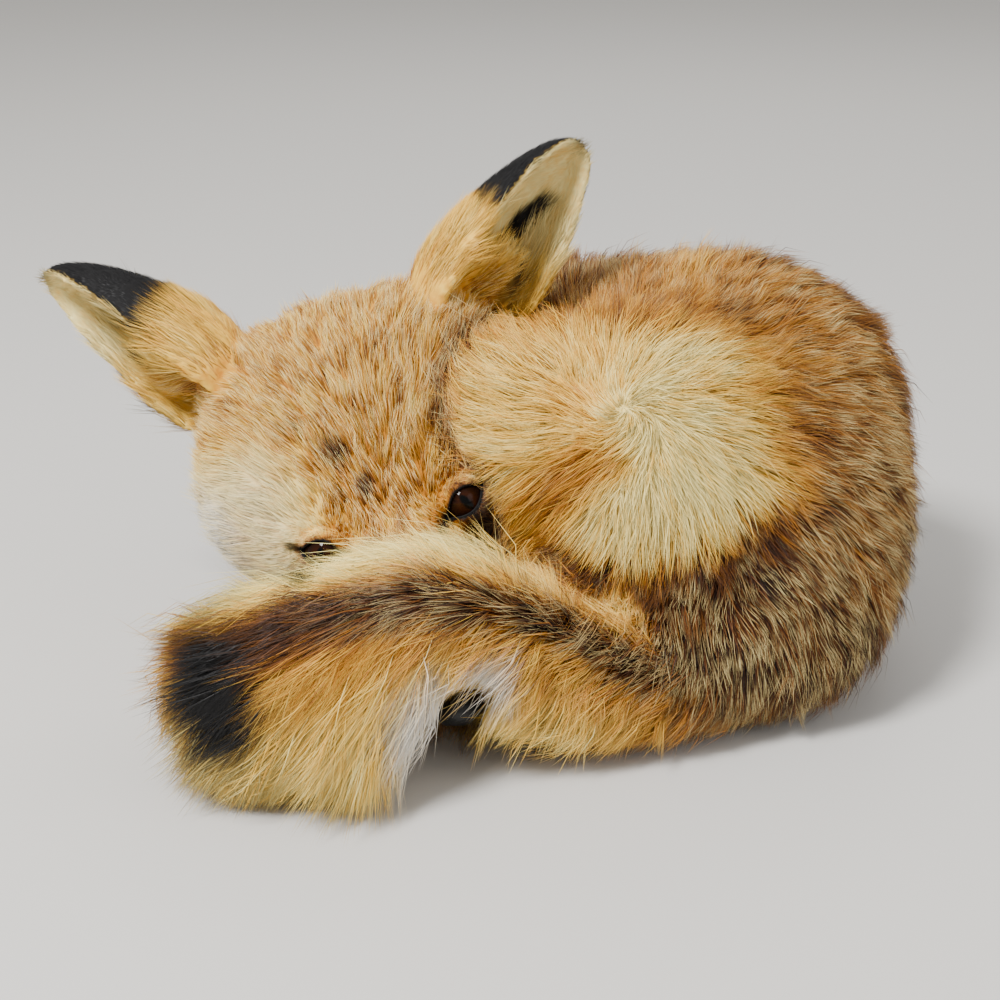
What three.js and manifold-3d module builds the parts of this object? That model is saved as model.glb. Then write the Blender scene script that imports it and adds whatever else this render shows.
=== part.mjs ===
// A red fox curled up asleep, life size, as a still museum model. It lies on the floor plane Z = 0 with
// its head at the front left, nose down, its hindquarters at the right and its tail across its muzzle.
// Millimetres, +Z up, -Y towards the side it faces. Sizes are measured to the tips of the coat.
import * as THREE from "three";
import { mergeVertices } from "three/addons/utils/BufferGeometryUtils.js";
import Module from "manifold-3d";

const wasm = await Module();
wasm.setup();

const at = (x, y, z) => new THREE.Vector3(x, y, z);
const degrees = THREE.MathUtils.degToRad;

// ---- driving dimensions ----
const gap = 0.35; // between neighbouring pieces
const fineness = 0.12; // the smallest rise and fall that is kept
const blend = 8; // how softly the swellings of the body run into each other

// The head has its own frame: origin at the nose tip, +X to the fox's left, +Y back, +Z out of the brow.
const noseTip = at(-13.5, -102, 20.5);
const noseDrop = 50.5; // how steeply the muzzle points down, in degrees
const noseTurn = 32.5; // how far the muzzle is turned from -Y towards +X
const headLean = 19; // how much higher the left eye is than the right, in degrees

const eyeSpread = 26.5; // half the distance between the eyes
const eyeBack = 74; // from the nose tip
const eyeHeight = -1;
const eyeRadius = 9;

// Roots and tips of the ears, which way each opens, and their half width from root to tip.
const earLeft = { root: at(45, 145, -18), tip: at(119, 190, -9), mouth: at(0.7, -0.45, 0.55) };
const earRight = { root: at(-46, 152, -18), tip: at(-98, 216, -7), mouth: at(-0.3, -0.8, 0.2) };
const earHalfWidths = [25, 26, 25, 22.5, 18.5, 13.5, 8, 2];

// The body's swellings, each an oval of [centre, radii].
const swellings = [
  [at(-34, 64, 56), at(62, 58, 60)], // shoulders
  [at(-52, 14, 72), at(48, 52, 54)], // neck
  [at(26, 76, 70), at(78, 58, 76)], // back
  [at(90, 40, 86), at(82, 76, 71)], // loin
  [at(93, -14, 60), at(72, 72, 68)], // rump
  [at(86, -49, 34), at(62, 50, 46)], // right hip
  [at(40, 32, 34), at(104, 88, 40)], // underside
  [at(52, -30, 88), at(62, 60, 66)], // left thigh
  [at(3, -32, 104), at(38, 34, 44)], // left knee
];
const bodyCentre = at(35, 22, 70); // a point inside them all

// Which part of the body each node takes: an oval of [centre, radii], the first taking what it holds.
const shares = {
  hind_leg_left: [at(30, -48, 96), at(66, 58, 66)],
  hind_leg_right: [at(88, -72, 8), at(84, 50, 46)],
  neck: [at(-72, -4, 86), at(66, 72, 74)],
};

// The tail from rump to tip, in stations of [centre, (half width, height above, depth below)].
const tailUp = at(0, 0.3, 1);
const tailLine = [
  [at(122, -30, 26), at(26, 22, 28)],
  [at(92, -66, 26), at(26, 20, 28)],
  [at(54, -84, 25), at(26, 22, 27)],
  [at(24, -92, 36), at(26, 26, 36)],
  [at(0, -98, 50), at(26, 28, 32)],
  [at(-18, -104, 60), at(26, 30, 25)],
  [at(-38, -110, 60), at(28, 28, 34)],
  [at(-62, -117, 52), at(31, 30, 52)],
  [at(-86, -115, 46), at(32, 29, 48)],
  [at(-106, -104, 42), at(25, 22, 38)],
  [at(-122, -98, 40), at(9, 10, 12)],
];
const tailCuts = [30, -54]; // where, along X, the base gives way to the middle and that to the tip

// The fore legs from elbow to toes, in the same kind of stations.
const foreLegs = {
  fore_leg_left: [
    [at(-22, 40, 24), at(20, 18, 20)],
    [at(-42, 0, 17), at(14, 12, 14)],
    [at(-52, -34, 14), at(12, 11, 12)],
    [at(-54, -56, 13), at(15, 11, 13)],
    [at(-54, -74, 11), at(9, 7, 9)],
  ],
  fore_leg_right: [
    [at(-66, 48, 24), at(20, 18, 20)],
    [at(-84, 8, 17), at(14, 12, 14)],
    [at(-90, -28, 14), at(12, 11, 12)],
    [at(-90, -52, 13), at(15, 11, 13)],
    [at(-88, -70, 11), at(9, 7, 9)],
  ],
};

// ---- tools ----

// A closed mesh over equal rings of points. A ring runs over its top and back along its underside, so
// that a strip of faces across it closes each end.
function skinOver(rings) {
  const count = rings[0].length;
  const last = (rings.length - 1) * count;
  const faces = [];
  const quad = (a, b, c, d) => faces.push(a, b, c, a, c, d);
  for (let start = 0; start < last; start += count)
    for (let i = 0; i < count; i++) {
      const next = (i + 1) % count;
      quad(start + i, start + next, start + count + next, start + count + i);
    }
  for (let i = 0; i + 1 < count / 2; i++) {
    const under = count - 1 - i;
    quad(under, under - 1, i + 1, i);
    quad(last + i, last + i + 1, last + under - 1, last + under);
  }
  const positions = rings.flat().flatMap((p) => [p.x, p.y, p.z]);
  return facingOut(positions, faces);
}

// A geometry of these corners and faces, turned so that its faces point outwards.
function facingOut(positions, faces) {
  const corner = (i) => at(...positions.slice(3 * i, 3 * i + 3));
  let volume = 0;
  for (let i = 0; i < faces.length; i += 3) {
    const [a, b, c] = faces.slice(i, i + 3).map(corner);
    volume += a.dot(b.cross(c));
  }
  const geometry = new THREE.BufferGeometry();
  geometry.setAttribute("position", new THREE.Float32BufferAttribute(positions, 3));
  geometry.setIndex(volume < 0 ? faces.reverse() : faces);
  return geometry;
}

// A tube through stations of [centre, (half width, height above, depth below)]. A fullness of 1 makes it
// oval, and less than 1 squarer.
function loft(stations, up, sides, steps, fullness = 1) {
  const centres = new THREE.CatmullRomCurve3(stations.map((s) => s[0]));
  const sizes = new THREE.CatmullRomCurve3(stations.map((s) => s[1]));
  const rings = [];
  for (let step = 0; step <= steps; step++) {
    const t = (1 - Math.cos((Math.PI * step) / steps)) / 2;
    const centre = centres.getPoint(t);
    const size = sizes.getPoint(t);
    const along = centres.getTangent(t);
    const above = up.clone().addScaledVector(along, -up.dot(along)).normalize();
    const aside = along.clone().cross(above);
    const ring = [];
    for (let k = 0; k < sides; k++) {
      const angle = (2 * Math.PI * (k + 0.5)) / sides;
      const [run, rise] = [Math.cos(angle), Math.sin(angle)].map(
        (part) => Math.sign(part) * Math.abs(part) ** fullness,
      );
      const point = centre.clone().addScaledVector(aside, run * size.x);
      ring.push(point.addScaledVector(above, rise * (rise > 0 ? size.y : size.z)));
    }
    rings.push(ring);
  }
  return skinOver(rings);
}

// How far a point is outside an oval; negative inside.
function outside(point, [centre, radii]) {
  const near = point.clone().sub(centre).divide(radii);
  const steep = near.clone().divide(radii).length();
  return steep < 1e-9 ? -Math.min(...radii.toArray()) : (near.length() * (near.length() - 1)) / steep;
}

// A closed skin round ovals that run softly into each other, as seen from a centre inside them all.
function wrap(centre, ovals, softness, around, down) {
  const globe = new THREE.SphereGeometry(1, around, down).rotateX(Math.PI / 2);
  globe.deleteAttribute("normal");
  globe.deleteAttribute("uv");
  const skin = mergeVertices(globe, 1e-4);
  const spots = skin.getAttribute("position");
  const field = (p) =>
    -softness * Math.log(ovals.reduce((sum, o) => sum + Math.exp(-outside(p, o) / softness), 0));
  for (let i = 0; i < spots.count; i++) {
    const ray = at(0, 0, 0).fromBufferAttribute(spots, i).normalize();
    let [near, far] = [0, 400];
    while (far - near > 0.01) {
      const middle = (near + far) / 2;
      if (field(centre.clone().addScaledVector(ray, middle)) < 0) near = middle;
      else far = middle;
    }
    spots.setXYZ(i, ...centre.clone().addScaledVector(ray, near).toArray());
  }
  return skin;
}

// The solid with these corners and faces.
const solidOf = (corners, faces) =>
  new wasm.Manifold(
    new wasm.Mesh({
      numProp: 3,
      vertProperties: new Float32Array(corners),
      triVerts: new Uint32Array(faces),
    }),
  );

// The solid of a closed geometry.
function solid(geometry) {
  const bare = new THREE.BufferGeometry();
  bare.setAttribute("position", geometry.getAttribute("position"));
  bare.setIndex(geometry.index);
  const merged = mergeVertices(bare, 1e-4);
  return solidOf(merged.getAttribute("position").array, merged.index.array);
}

// The geometry of a solid's largest body, so that no sliver of a cut is left beside it.
function geometryOf(made) {
  const body = made.decompose().reduce((a, b) => (a.volume() > b.volume() ? a : b));
  const { vertProperties, triVerts } = body.simplify(fineness).getMesh();
  const geometry = new THREE.BufferGeometry();
  geometry.setAttribute("position", new THREE.BufferAttribute(vertProperties, 3));
  geometry.setIndex(new THREE.BufferAttribute(triVerts, 1));
  return geometry;
}

// A solid with its skin moved out by a margin, to cut clearance for it.
function swollen(made, margin = gap) {
  const geometry = geometryOf(made);
  geometry.computeVertexNormals();
  const spots = geometry.getAttribute("position");
  const normals = geometry.getAttribute("normal");
  for (let i = 0; i < spots.count; i++) {
    const spot = at(0, 0, 0).fromBufferAttribute(spots, i);
    const normal = at(0, 0, 0).fromBufferAttribute(normals, i);
    spots.setXYZ(i, ...spot.addScaledVector(normal, margin).toArray());
  }
  return solidOf(spots.array, geometry.index.array);
}

function oval([centre, radii], around = 20, down = 14) {
  const ball = new THREE.SphereGeometry(1, around, down);
  return ball.scale(...radii.toArray()).translate(...centre.toArray());
}

// ---- head, in its own frame ----

function cranium() {
  return loft(
    [
      [at(0, 54, -26), at(15, 9, 12)],
      [at(0, 61, -22), at(38, 19, 22)],
      [at(0, 72, -18), at(58, 27, 32)],
      [at(0, 86, -17), at(69, 32, 39)],
      [at(0, 101, -16), at(73, 36, 44)],
      [at(0, 116, -16), at(73, 38, 46)],
      [at(0, 131, -17), at(68, 37, 46)],
      [at(0, 146, -19), at(60, 33, 43)],
      [at(0, 160, -23), at(46, 25, 34)],
      [at(0, 171, -29), at(22, 12, 16)],
    ],
    at(0, 0, 1),
    22,
    14,
  );
}

function muzzle() {
  return loft(
    [
      [at(0, -1, -2), at(5, 4, 5)],
      [at(0, 4, -3), at(11.5, 9, 10)],
      [at(0, 18, -5), at(15.5, 13, 14)],
      [at(0, 36, -7), at(18.5, 15, 18)],
      [at(0, 54, -9), at(23, 18, 22)],
      [at(0, 70, -12), at(30, 24, 26)],
      [at(0, 84, -15), at(26, 22, 20)],
    ],
    at(0, 0, 1),
    18,
    9,
  );
}

// One eyeball. The side is 1 for the fox's left eye and -1 for its right.
const eyeball = (side) =>
  oval([at(side * eyeSpread, eyeBack, eyeHeight), at(eyeRadius, eyeRadius, eyeRadius)], 14, 8);

const nosePad = () => oval([at(0, 1, 2), at(9.5, 6, 7.5)], 14, 8);

// An ear: a leaf curled round its own length, with its opening turned to the mouth.
function ear({ root, tip, mouth }) {
  const along = tip.clone().sub(root).normalize();
  const open = mouth.clone().addScaledVector(along, -mouth.dot(along)).normalize();
  const aside = along.clone().cross(open);
  const length = tip.distanceTo(root);
  const arcs = 8;
  const rings = earHalfWidths.map((halfWidth, step) => {
    const t = step / (earHalfWidths.length - 1);
    const spread = degrees(125 - 55 * t);
    const radius = halfWidth / Math.sin(Math.min(spread, Math.PI / 2));
    const wall = Math.min(5 - 2.6 * t, radius * 0.7);
    const middle = root.clone().addScaledVector(along, length * Math.sin((Math.PI / 2) * t) ** 1.15);
    const arc = (r, k) => {
      const angle = spread * (1 - (2 * k) / arcs);
      const point = middle.clone().addScaledVector(open, (halfWidth - r) * 0.5 - r * Math.cos(angle));
      return point.addScaledVector(aside, r * Math.sin(angle));
    };
    const ring = [];
    for (let k = 0; k <= arcs; k++) ring.push(arc(radius, k));
    for (let k = arcs; k >= 0; k--) ring.push(arc(radius - wall, k));
    return ring;
  });
  return skinOver(rings);
}

// The head's placing: its -Y axis along the muzzle, its X axis raised to the lean of the eye line.
function headPlacing() {
  const back = at(
    -Math.sin(degrees(noseTurn)) * Math.cos(degrees(noseDrop)),
    Math.cos(degrees(noseTurn)) * Math.cos(degrees(noseDrop)),
    Math.sin(degrees(noseDrop)),
  );
  const level = back.clone().cross(at(0, 0, 1)).normalize();
  const raised = level.clone().cross(back);
  const lean = Math.asin(Math.sin(degrees(headLean)) / raised.z);
  const right = level.clone().multiplyScalar(Math.cos(lean)).addScaledVector(raised, Math.sin(lean));
  return new THREE.Matrix4().makeBasis(right, back, right.clone().cross(back)).setPosition(noseTip);
}

// ---- cutting the pieces apart ----

const union = (solids) => solids.reduce((sum, made) => sum.add(made));
const roomFor = (solids) => union(solids.map((made) => swollen(made)));

const eyes = { left: solid(eyeball(1)), right: solid(eyeball(-1)) };
const nose = solid(nosePad());
const skull = [solid(cranium()), solid(muzzle())];
const earSolids = [solid(ear(earLeft)), solid(ear(earRight))];
const head = union(skull).subtract(roomFor([eyes.left, eyes.right, nose]));
const ears = {
  left: earSolids[0].subtract(roomFor(skull)),
  right: earSolids[1].subtract(roomFor(skull)),
};

const headMatrix = headPlacing();
const headRoom = roomFor([...skull, ...earSolids, eyes.left, eyes.right, nose]).transform(
  headMatrix.elements,
);

const slab = (width, y, z) => new THREE.BoxGeometry(width, 800, 800).translate(0, y, z);
const aboveFloor = solid(slab(800, 0, 400));
const body = solid(wrap(bodyCentre, swellings, blend, 38, 22)).intersect(aboveFloor);
const bodyRoom = swollen(body);

const pieces = {};
let rest = body.subtract(headRoom);
for (const [name, share] of Object.entries(shares)) {
  const room = solid(oval(share, 20, 12));
  pieces[name] = rest.intersect(swollen(room, -gap));
  rest = rest.subtract(room);
}
pieces.trunk = rest;

const tail = solid(loft(tailLine, tailUp, 18, 24, 0.85))
  .intersect(aboveFloor)
  .subtract(headRoom)
  .subtract(bodyRoom);
const [tailNear, tailFar] = tailCuts;
const between = (from, to) => solid(slab(to - from, 0, 0).translate((from + to) / 2, 0, 0));
pieces.tail_base = tail.intersect(between(tailNear + gap, 300));
pieces.tail_middle = tail.intersect(between(tailFar + gap, tailNear));
pieces.tail_tip = tail.intersect(between(-300, tailFar));

for (const [name, stations] of Object.entries(foreLegs))
  pieces[name] = solid(loft(stations, at(0, 0, 1), 16, 12))
    .intersect(aboveFloor)
    .subtract(headRoom)
    .subtract(bodyRoom)
    .subtract(swollen(tail));

// ---- the model ----

const coats = {
  russet: { color: 0xb97a3c, roughness: 0.9, metalness: 0 },
  cream: { color: 0xd6b67c, roughness: 0.9, metalness: 0 },
  black: { color: 0x1a1611, roughness: 0.88, metalness: 0 },
  glass: { color: 0x140b06, roughness: 0.08, metalness: 0 },
  leather: { color: 0x0e0d0d, roughness: 0.45, metalness: 0 },
};
const colouring = {
  hind_leg_left: "cream",
  fore_leg_left: "black",
  fore_leg_right: "black",
};

const fox = new THREE.Group();
fox.name = "fox";
const headGroup = new THREE.Group();
headGroup.name = "head_group";
headGroup.position.setFromMatrixPosition(headMatrix);
headGroup.quaternion.setFromRotationMatrix(headMatrix);
fox.add(headGroup);

function addPiece(parent, name, made, coat) {
  const mesh = new THREE.Mesh(geometryOf(made), new THREE.MeshStandardMaterial(coats[coat]));
  mesh.name = name;
  parent.add(mesh);
}

addPiece(headGroup, "head", head, "russet");
addPiece(headGroup, "nose", nose, "leather");
for (const side of ["left", "right"]) {
  addPiece(headGroup, "eye_" + side, eyes[side], "glass");
  addPiece(headGroup, "ear_" + side, ears[side], "black");
}
for (const [name, made] of Object.entries(pieces)) addPiece(fox, name, made, colouring[name] ?? "russet");

// The origin goes to the middle of the whole, on the floor.
const size = new THREE.Box3().setFromObject(fox, true);
for (const part of fox.children) {
  part.position.x -= (size.min.x + size.max.x) / 2;
  part.position.y -= (size.min.y + size.max.y) / 2;
}

export default fox;
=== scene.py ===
import bpy
import bmesh
import math
import numpy as np
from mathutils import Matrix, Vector
from mathutils.bvhtree import BVHTree
from mathutils.kdtree import KDTree


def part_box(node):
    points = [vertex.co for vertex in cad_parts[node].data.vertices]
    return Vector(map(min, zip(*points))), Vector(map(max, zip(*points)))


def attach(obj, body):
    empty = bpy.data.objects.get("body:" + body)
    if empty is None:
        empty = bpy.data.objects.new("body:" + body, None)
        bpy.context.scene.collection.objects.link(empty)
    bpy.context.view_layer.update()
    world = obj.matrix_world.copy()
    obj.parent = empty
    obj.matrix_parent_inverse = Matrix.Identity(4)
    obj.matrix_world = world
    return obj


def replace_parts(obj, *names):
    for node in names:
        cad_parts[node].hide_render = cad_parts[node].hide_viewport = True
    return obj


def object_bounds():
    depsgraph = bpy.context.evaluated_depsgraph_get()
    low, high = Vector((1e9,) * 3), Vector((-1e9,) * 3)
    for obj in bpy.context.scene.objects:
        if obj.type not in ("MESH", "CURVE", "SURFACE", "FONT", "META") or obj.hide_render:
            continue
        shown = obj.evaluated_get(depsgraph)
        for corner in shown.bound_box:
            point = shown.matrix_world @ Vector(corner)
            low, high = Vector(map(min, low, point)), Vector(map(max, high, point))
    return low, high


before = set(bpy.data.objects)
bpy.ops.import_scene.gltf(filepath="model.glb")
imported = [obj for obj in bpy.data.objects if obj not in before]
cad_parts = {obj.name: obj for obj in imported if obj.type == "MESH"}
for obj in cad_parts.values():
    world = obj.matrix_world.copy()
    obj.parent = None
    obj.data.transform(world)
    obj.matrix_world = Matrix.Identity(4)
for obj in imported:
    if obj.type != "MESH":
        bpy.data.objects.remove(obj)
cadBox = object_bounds()
chance = np.random.default_rng(20)  # all that is left to chance comes from this one seed
print("fox: frame loaded")


# small maths used all over


def unit(v):
    return v / np.maximum(np.linalg.norm(v, axis=-1, keepdims=True), 1e-12)


def dots(a, b):
    return np.sum(a * b, axis=-1, keepdims=True)


def gapTo(p, place):
    return np.linalg.norm(p - place, axis=-1)


def smooth(low, high, x):  # 0 below low, 1 above high, either way round
    t = np.clip((x - low) / (high - low), 0, 1)
    return t * t * (3 - 2 * t)


def flatten(v, normals):  # keeps what lies along the surface
    return v - dots(v, normals) * normals


def mix(a, b, t):
    return a + (b - a) * t


def waves(p, size, seed, octaves=3):  # soft noise from -1 to 1, features about size across
    turn = np.random.default_rng(seed)
    total = np.zeros(len(p))
    for octave in range(octaves):
        for _ in range(4):
            way = unit(turn.normal(size=3)) * 2 * np.pi / (size / 2**octave)
            total += np.sin(p @ way + turn.uniform(0, 6.3)) / 2**octave
    return total / 3.2


def within(p, centre, radii, soft=0.5):  # 1 inside an oval, fading to 0 outside it; radii in millimetres
    gap = np.linalg.norm((p - centre) / (np.array(radii) / 1000), axis=1)
    return smooth(1 + soft, 1 - soft, gap)


# where things are, in metres, in the frame of the part
centring = np.array([0.0035, 0.0090, 0])  # the part was drawn this far from where its origin is


def at(x, y, z):  # a point given in the part's own drawing millimetres
    return np.array([x, y, z]) / 1000 + centring


def middle(node):
    low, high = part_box(node)
    return (np.array(low) + np.array(high)) / 2


# degrees that the nose lies above the head's line, and its tip in millimetres back and up from its middle
headShape = {"lean": 2.3, "noseTip": (-1, -2)}


def headAxes():
    left, right, nose = middle("eye_left"), middle("eye_right"), middle("nose")
    sideways = unit(left - right)
    back = unit((left + right) / 2 - nose)
    brow = unit(np.cross(sideways, back))
    turn = math.radians(headShape["lean"])
    axes = np.array([[1, 0, 0], [0, math.cos(turn), math.sin(turn)], [0, -math.sin(turn), math.cos(turn)]])
    axes = axes @ np.stack([sideways, back, brow])
    return axes, nose + np.array(headShape["noseTip"]) / 1000 @ axes[1:]


headTurn, headOrigin = headAxes()


def toHead(p):  # millimetres from the nose tip: to the fox's left, back, out of the brow
    return (p - headOrigin) @ headTurn.T * 1000


def fromHead(p):
    return np.asarray(p) @ headTurn / 1000 + headOrigin


places = {
    "whorl": at(45, -62, 121),  # the coat of the haunch runs out from here
    "whorlAxis": unit(np.array([0.05, -0.83, 0.56])),
    "pale": at(54, -74, 106),  # the middle of the haunch's pale patch
    "chinWay": np.array([-0.2, 0, -1.0]),
    "acrossFloor": np.array([-1, 0.1, -0.1]),
}
backLine = [  # along the middle of the back, from the nape to the end of the tail
    at(-52, 22, 132), at(-40, 66, 120), at(8, 104, 136), at(70, 106, 146), at(132, 80, 126),
    at(168, 30, 96), at(160, -24, 76), at(128, -66, 60), at(92, -92, 50), at(56, -108, 42),
    at(28, -108, 62), at(-14, -127, 78), at(-56, -136, 82), at(-90, -140, 66), at(-118, -112, 48),
]
tailLine = [
    at(122, -30, 26), at(92, -66, 26), at(54, -84, 25), at(24, -92, 36), at(0, -98, 50), at(-18, -104, 60),
    at(-38, -110, 60), at(-62, -117, 52), at(-86, -115, 46), at(-106, -104, 42), at(-122, -98, 40),
]
# root, tip and the way its mouth looks, in the head's millimetres; how far along it the black of its back
# begins; and the dark hollow, dark skin with painted shade deep in its cup: millimetres across the ear, and
# how far along it from and to
ears = {
    "ear_left": {"root": (45, 145, -18), "tip": (119, 190, -9), "mouth": (0.7, -0.45, 0.55),
                 "blackFrom": 0.42, "hollowSkinAndShade": (9, 0.05, 0.66)},
    "ear_right": {"root": (-46, 152, -18), "tip": (-98, 216, -7), "mouth": (-0.3, -0.8, 0.2),
                  "blackFrom": 0.25, "hollowSkinAndShade": (0, 0.36, 0.46)},
}


def earFrame(shape):  # its root and length, and the ways it runs, looks and lies across
    root, tip = np.array(shape["root"]), np.array(shape["tip"])
    length = np.linalg.norm(tip - root)
    axis = (tip - root) / length
    mouth = unit(flatten(np.array(shape["mouth"]), axis))
    return root, length, axis, mouth, np.cross(axis, mouth)


earFrames = {name: earFrame(shape) for name, shape in ears.items()}


class Line:  # a smooth line through points, with the nearest place on it for any point
    def __init__(self, points, steps=12):
        points = np.array(points)
        ends = np.vstack([2 * points[0] - points[1], points, 2 * points[-1] - points[-2]])
        rows = []
        for i in range(1, len(ends) - 2):
            a, b, c, d = ends[i - 1 : i + 3]
            for t in np.arange(steps) / steps:
                bend, twist = 2 * a - 5 * b + 4 * c - d, 3 * b - a - 3 * c + d
                rows.append(0.5 * (2 * b + (c - a) * t + bend * t**2 + twist * t**3))
        self.points = np.array(rows + [ends[-2]])
        self.along = unit(np.gradient(self.points, axis=0))

    def nearest(self, p):  # how far along it (0 to 1), the way it runs there, and the point there
        best = np.empty(len(p), int)
        for start in range(0, len(p), 20000):
            part = p[start : start + 20000, None, :] - self.points[None]
            best[start : start + 20000] = np.argmin(np.sum(part * part, axis=2), axis=1)
        return best / (len(self.points) - 1), self.along[best], self.points[best]


spine = Line(backLine)
tailAxis = Line(tailLine)


# meshes as arrays


def arraysOf(mesh):
    mesh.calc_loop_triangles()
    points = np.empty(len(mesh.vertices) * 3)
    mesh.vertices.foreach_get("co", points)
    faces = np.empty(len(mesh.loop_triangles) * 3, np.int32)
    mesh.loop_triangles.foreach_get("vertices", faces)
    return points.reshape(-1, 3), faces.reshape(-1, 3)


def normalsOf(mesh):
    normals = np.empty(len(mesh.vertices) * 3)
    mesh.vertices.foreach_get("normal", normals)
    return normals.reshape(-1, 3)


def edgesOf(mesh):
    edges = np.empty(len(mesh.edges) * 2, np.int32)
    mesh.edges.foreach_get("vertices", edges)
    return edges.reshape(-1, 2)


def meshFrom(name, points, faces):
    mesh = bpy.data.meshes.new(name)
    mesh.from_pydata(np.asarray(points).tolist(), [], faces)
    mesh.shade_smooth()
    mesh.update()
    return mesh


def movePoints(mesh, points):
    mesh.vertices.foreach_set("co", points.ravel())
    mesh.update()


def linked(name, data):
    thing = bpy.data.objects.new(name, data)
    bpy.context.scene.collection.objects.link(thing)
    return thing


def solidOf(make, **sizes):  # points and faces of one of bmesh's own solids
    build = bmesh.new()
    make(build, **sizes)
    build.verts.index_update()
    points = np.array([v.co[:] for v in build.verts])
    faces = [[v.index for v in face.verts] for face in build.faces]
    build.free()
    return points, faces


def treeOf(points, faces):
    return BVHTree.FromPolygons(points.tolist(), faces.tolist())


def nearestAmong(points, seeds):  # which seed each point is nearest to
    tree = KDTree(len(seeds))
    for i, seed in enumerate(seeds.tolist()):
        tree.insert(seed, i)
    tree.balance()
    return np.array([tree.find(p)[1] for p in points.tolist()])


def relax(values, edges, rounds, amount=0.5):  # evens values out between neighbours
    one, two = edges.T
    count = len(values)
    shared = np.bincount(one, minlength=count) + np.bincount(two, minlength=count)
    amount = np.broadcast_to(np.asarray(amount, float).reshape(-1, 1), (count, 1))
    for _ in range(rounds):
        mean = np.empty_like(values)
        for k in range(values.shape[1]):
            column = values[:, k]
            mean[:, k] = np.bincount(one, column[two], count) + np.bincount(two, column[one], count)
        values = mix(values, mean / shared[:, None], amount)
    return values


def steady(values, edges, rounds, amount=0.5):  # evens out bumps without shrinking thin parts
    for _ in range(rounds):
        values = relax(relax(values, edges, 1, amount), edges, 1, -1.06 * amount)
    return values


def largestBody(points, faces):  # drops loose bits and closed hollows inside
    label = np.arange(len(points))
    edges = np.vstack([faces[:, :2], faces[:, 1:]])
    while True:
        low = np.minimum(label[edges[:, 0]], label[edges[:, 1]])
        before = label.copy()
        np.minimum.at(label, edges[:, 0], low)
        np.minimum.at(label, edges[:, 1], low)
        label = label[label]
        if np.array_equal(before, label):
            break
    keep = label == np.bincount(label).argmax()
    renumber = np.cumsum(keep) - 1
    return points[keep], renumber[faces[keep[faces[:, 0]]]]


def remeshed(points, faces, voxel):
    source = linked("source", meshFrom("source", points, faces.tolist()))
    remesh = source.modifiers.new("remesh", "REMESH")
    remesh.mode = "VOXEL"
    remesh.voxel_size = voxel
    depsgraph = bpy.context.evaluated_depsgraph_get()
    mesh = bpy.data.meshes.new_from_object(source.evaluated_get(depsgraph))
    bpy.data.objects.remove(source)
    points, faces = largestBody(*arraysOf(mesh))
    return meshFrom("skin", points, faces.tolist())


def addColours(mesh, name, *columns):  # up to four values for each point
    values = np.ones((len(mesh.vertices), 4), np.float32)
    for k, column in enumerate(columns):
        values[:, k] = column
    mesh.color_attributes.new(name, "FLOAT_COLOR", "POINT").data.foreach_set("color", values.ravel())


def showAs(name, mesh, material):  # a piece of the fox, riding on its one body
    piece = linked(name, mesh)
    mesh.materials.append(material)
    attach(piece, "root")
    return piece


# the eyes' openings, in millimetres around each eye
lids = {
    "halfWidth": 8.3, "thick": 0.9, "behind": 1.3, "reach": 16, "finerWithin": 12.8,
    "brow": {"high": 1.1, "from": 3.2, "soft": 5}, "bag": {"high": 0.7, "from": 3.0, "soft": 4},
    "inFront": (2, 26),  # no hair passes this far in front of an opening
    "corner": (0.89, 0.45),  # the way the outer corners lie, sideways and back
    "eye_left": {"side": 1, "upper": 5.0, "lower": 3.7, "looks": (0.14, -0.38, 0.91), "clear": -0.05},
    "eye_right": {"side": -1, "upper": 5.4, "lower": 3.9, "looks": (-0.3, -0.36, 0.88), "clear": 0.7},
}


def eyeFrame(name):  # centre, radius, and the ways it runs to its outer corner, rises and looks
    sideways, back = lids["corner"]
    low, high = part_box(name)
    outward = unit(np.array(lids[name]["looks"]))
    along = unit(flatten(np.array([lids[name]["side"] * sideways, back, 0]), outward))
    lift = np.cross(outward, along)
    lift *= np.sign(lift[1])
    return middle(name), (high[0] - low[0]) * 500, np.stack([along, lift, outward]) @ headTurn


eyeFrames = {name: eyeFrame(name) for name in ("eye_left", "eye_right")}


def aroundEye(name, p):  # millimetres along the lids, up them and out, and how far outside the opening
    centre, _, axes = eyeFrames[name]
    place = (p - centre) @ axes.T * 1000
    x, y = place[:, 0], place[:, 1]
    shape, half = lids[name], lids["halfWidth"]
    bow = 1 - (x / half) ** 2
    rim = np.where(y > 0, shape["upper"], shape["lower"]) * np.maximum(bow, 0)
    outside = np.where(bow > 0, np.abs(y) - rim, np.hypot(np.abs(x) - half, y))
    return place, outside


# the skin under the coat
skinShape = {
    "voxel": 0.0019,
    "overlap": 0.0005,  # each part swells by this, to run into its neighbours
    "blendRounds": 30,  # how far the coat's depth runs from part to part
    "rounds": (40, 12),  # smoothing of the thick parts and of the ears, before the coat's depth is taken off
    "lastRounds": (10, 30),  # and after
    "floor": 0.0012,
}
flesh = {  # the coat each node wears, and millimetres from its tips to the skin
    "head": ("head", 4.0), "ear_left": ("ear", 0.1), "ear_right": ("ear", 0.1), "neck": ("neck", 12),
    "trunk": ("body", 8.5), "hind_leg_left": ("body", 8.5), "hind_leg_right": ("body", 8.5),
    "fore_leg_left": ("leg", 2.5), "fore_leg_right": ("leg", 2.5),
    "tail_base": ("tail", 11), "tail_middle": ("tail", 11.5), "tail_tip": ("tail", 12),
}
fleshNodes = list(flesh)
regions = ["head", "ear", "neck", "body", "leg", "tail"]
deeper = {"muzzle": -2.4, "ruff": 5, "underHaunch": 3.5}  # millimetres that the coat is deeper in places
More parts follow.
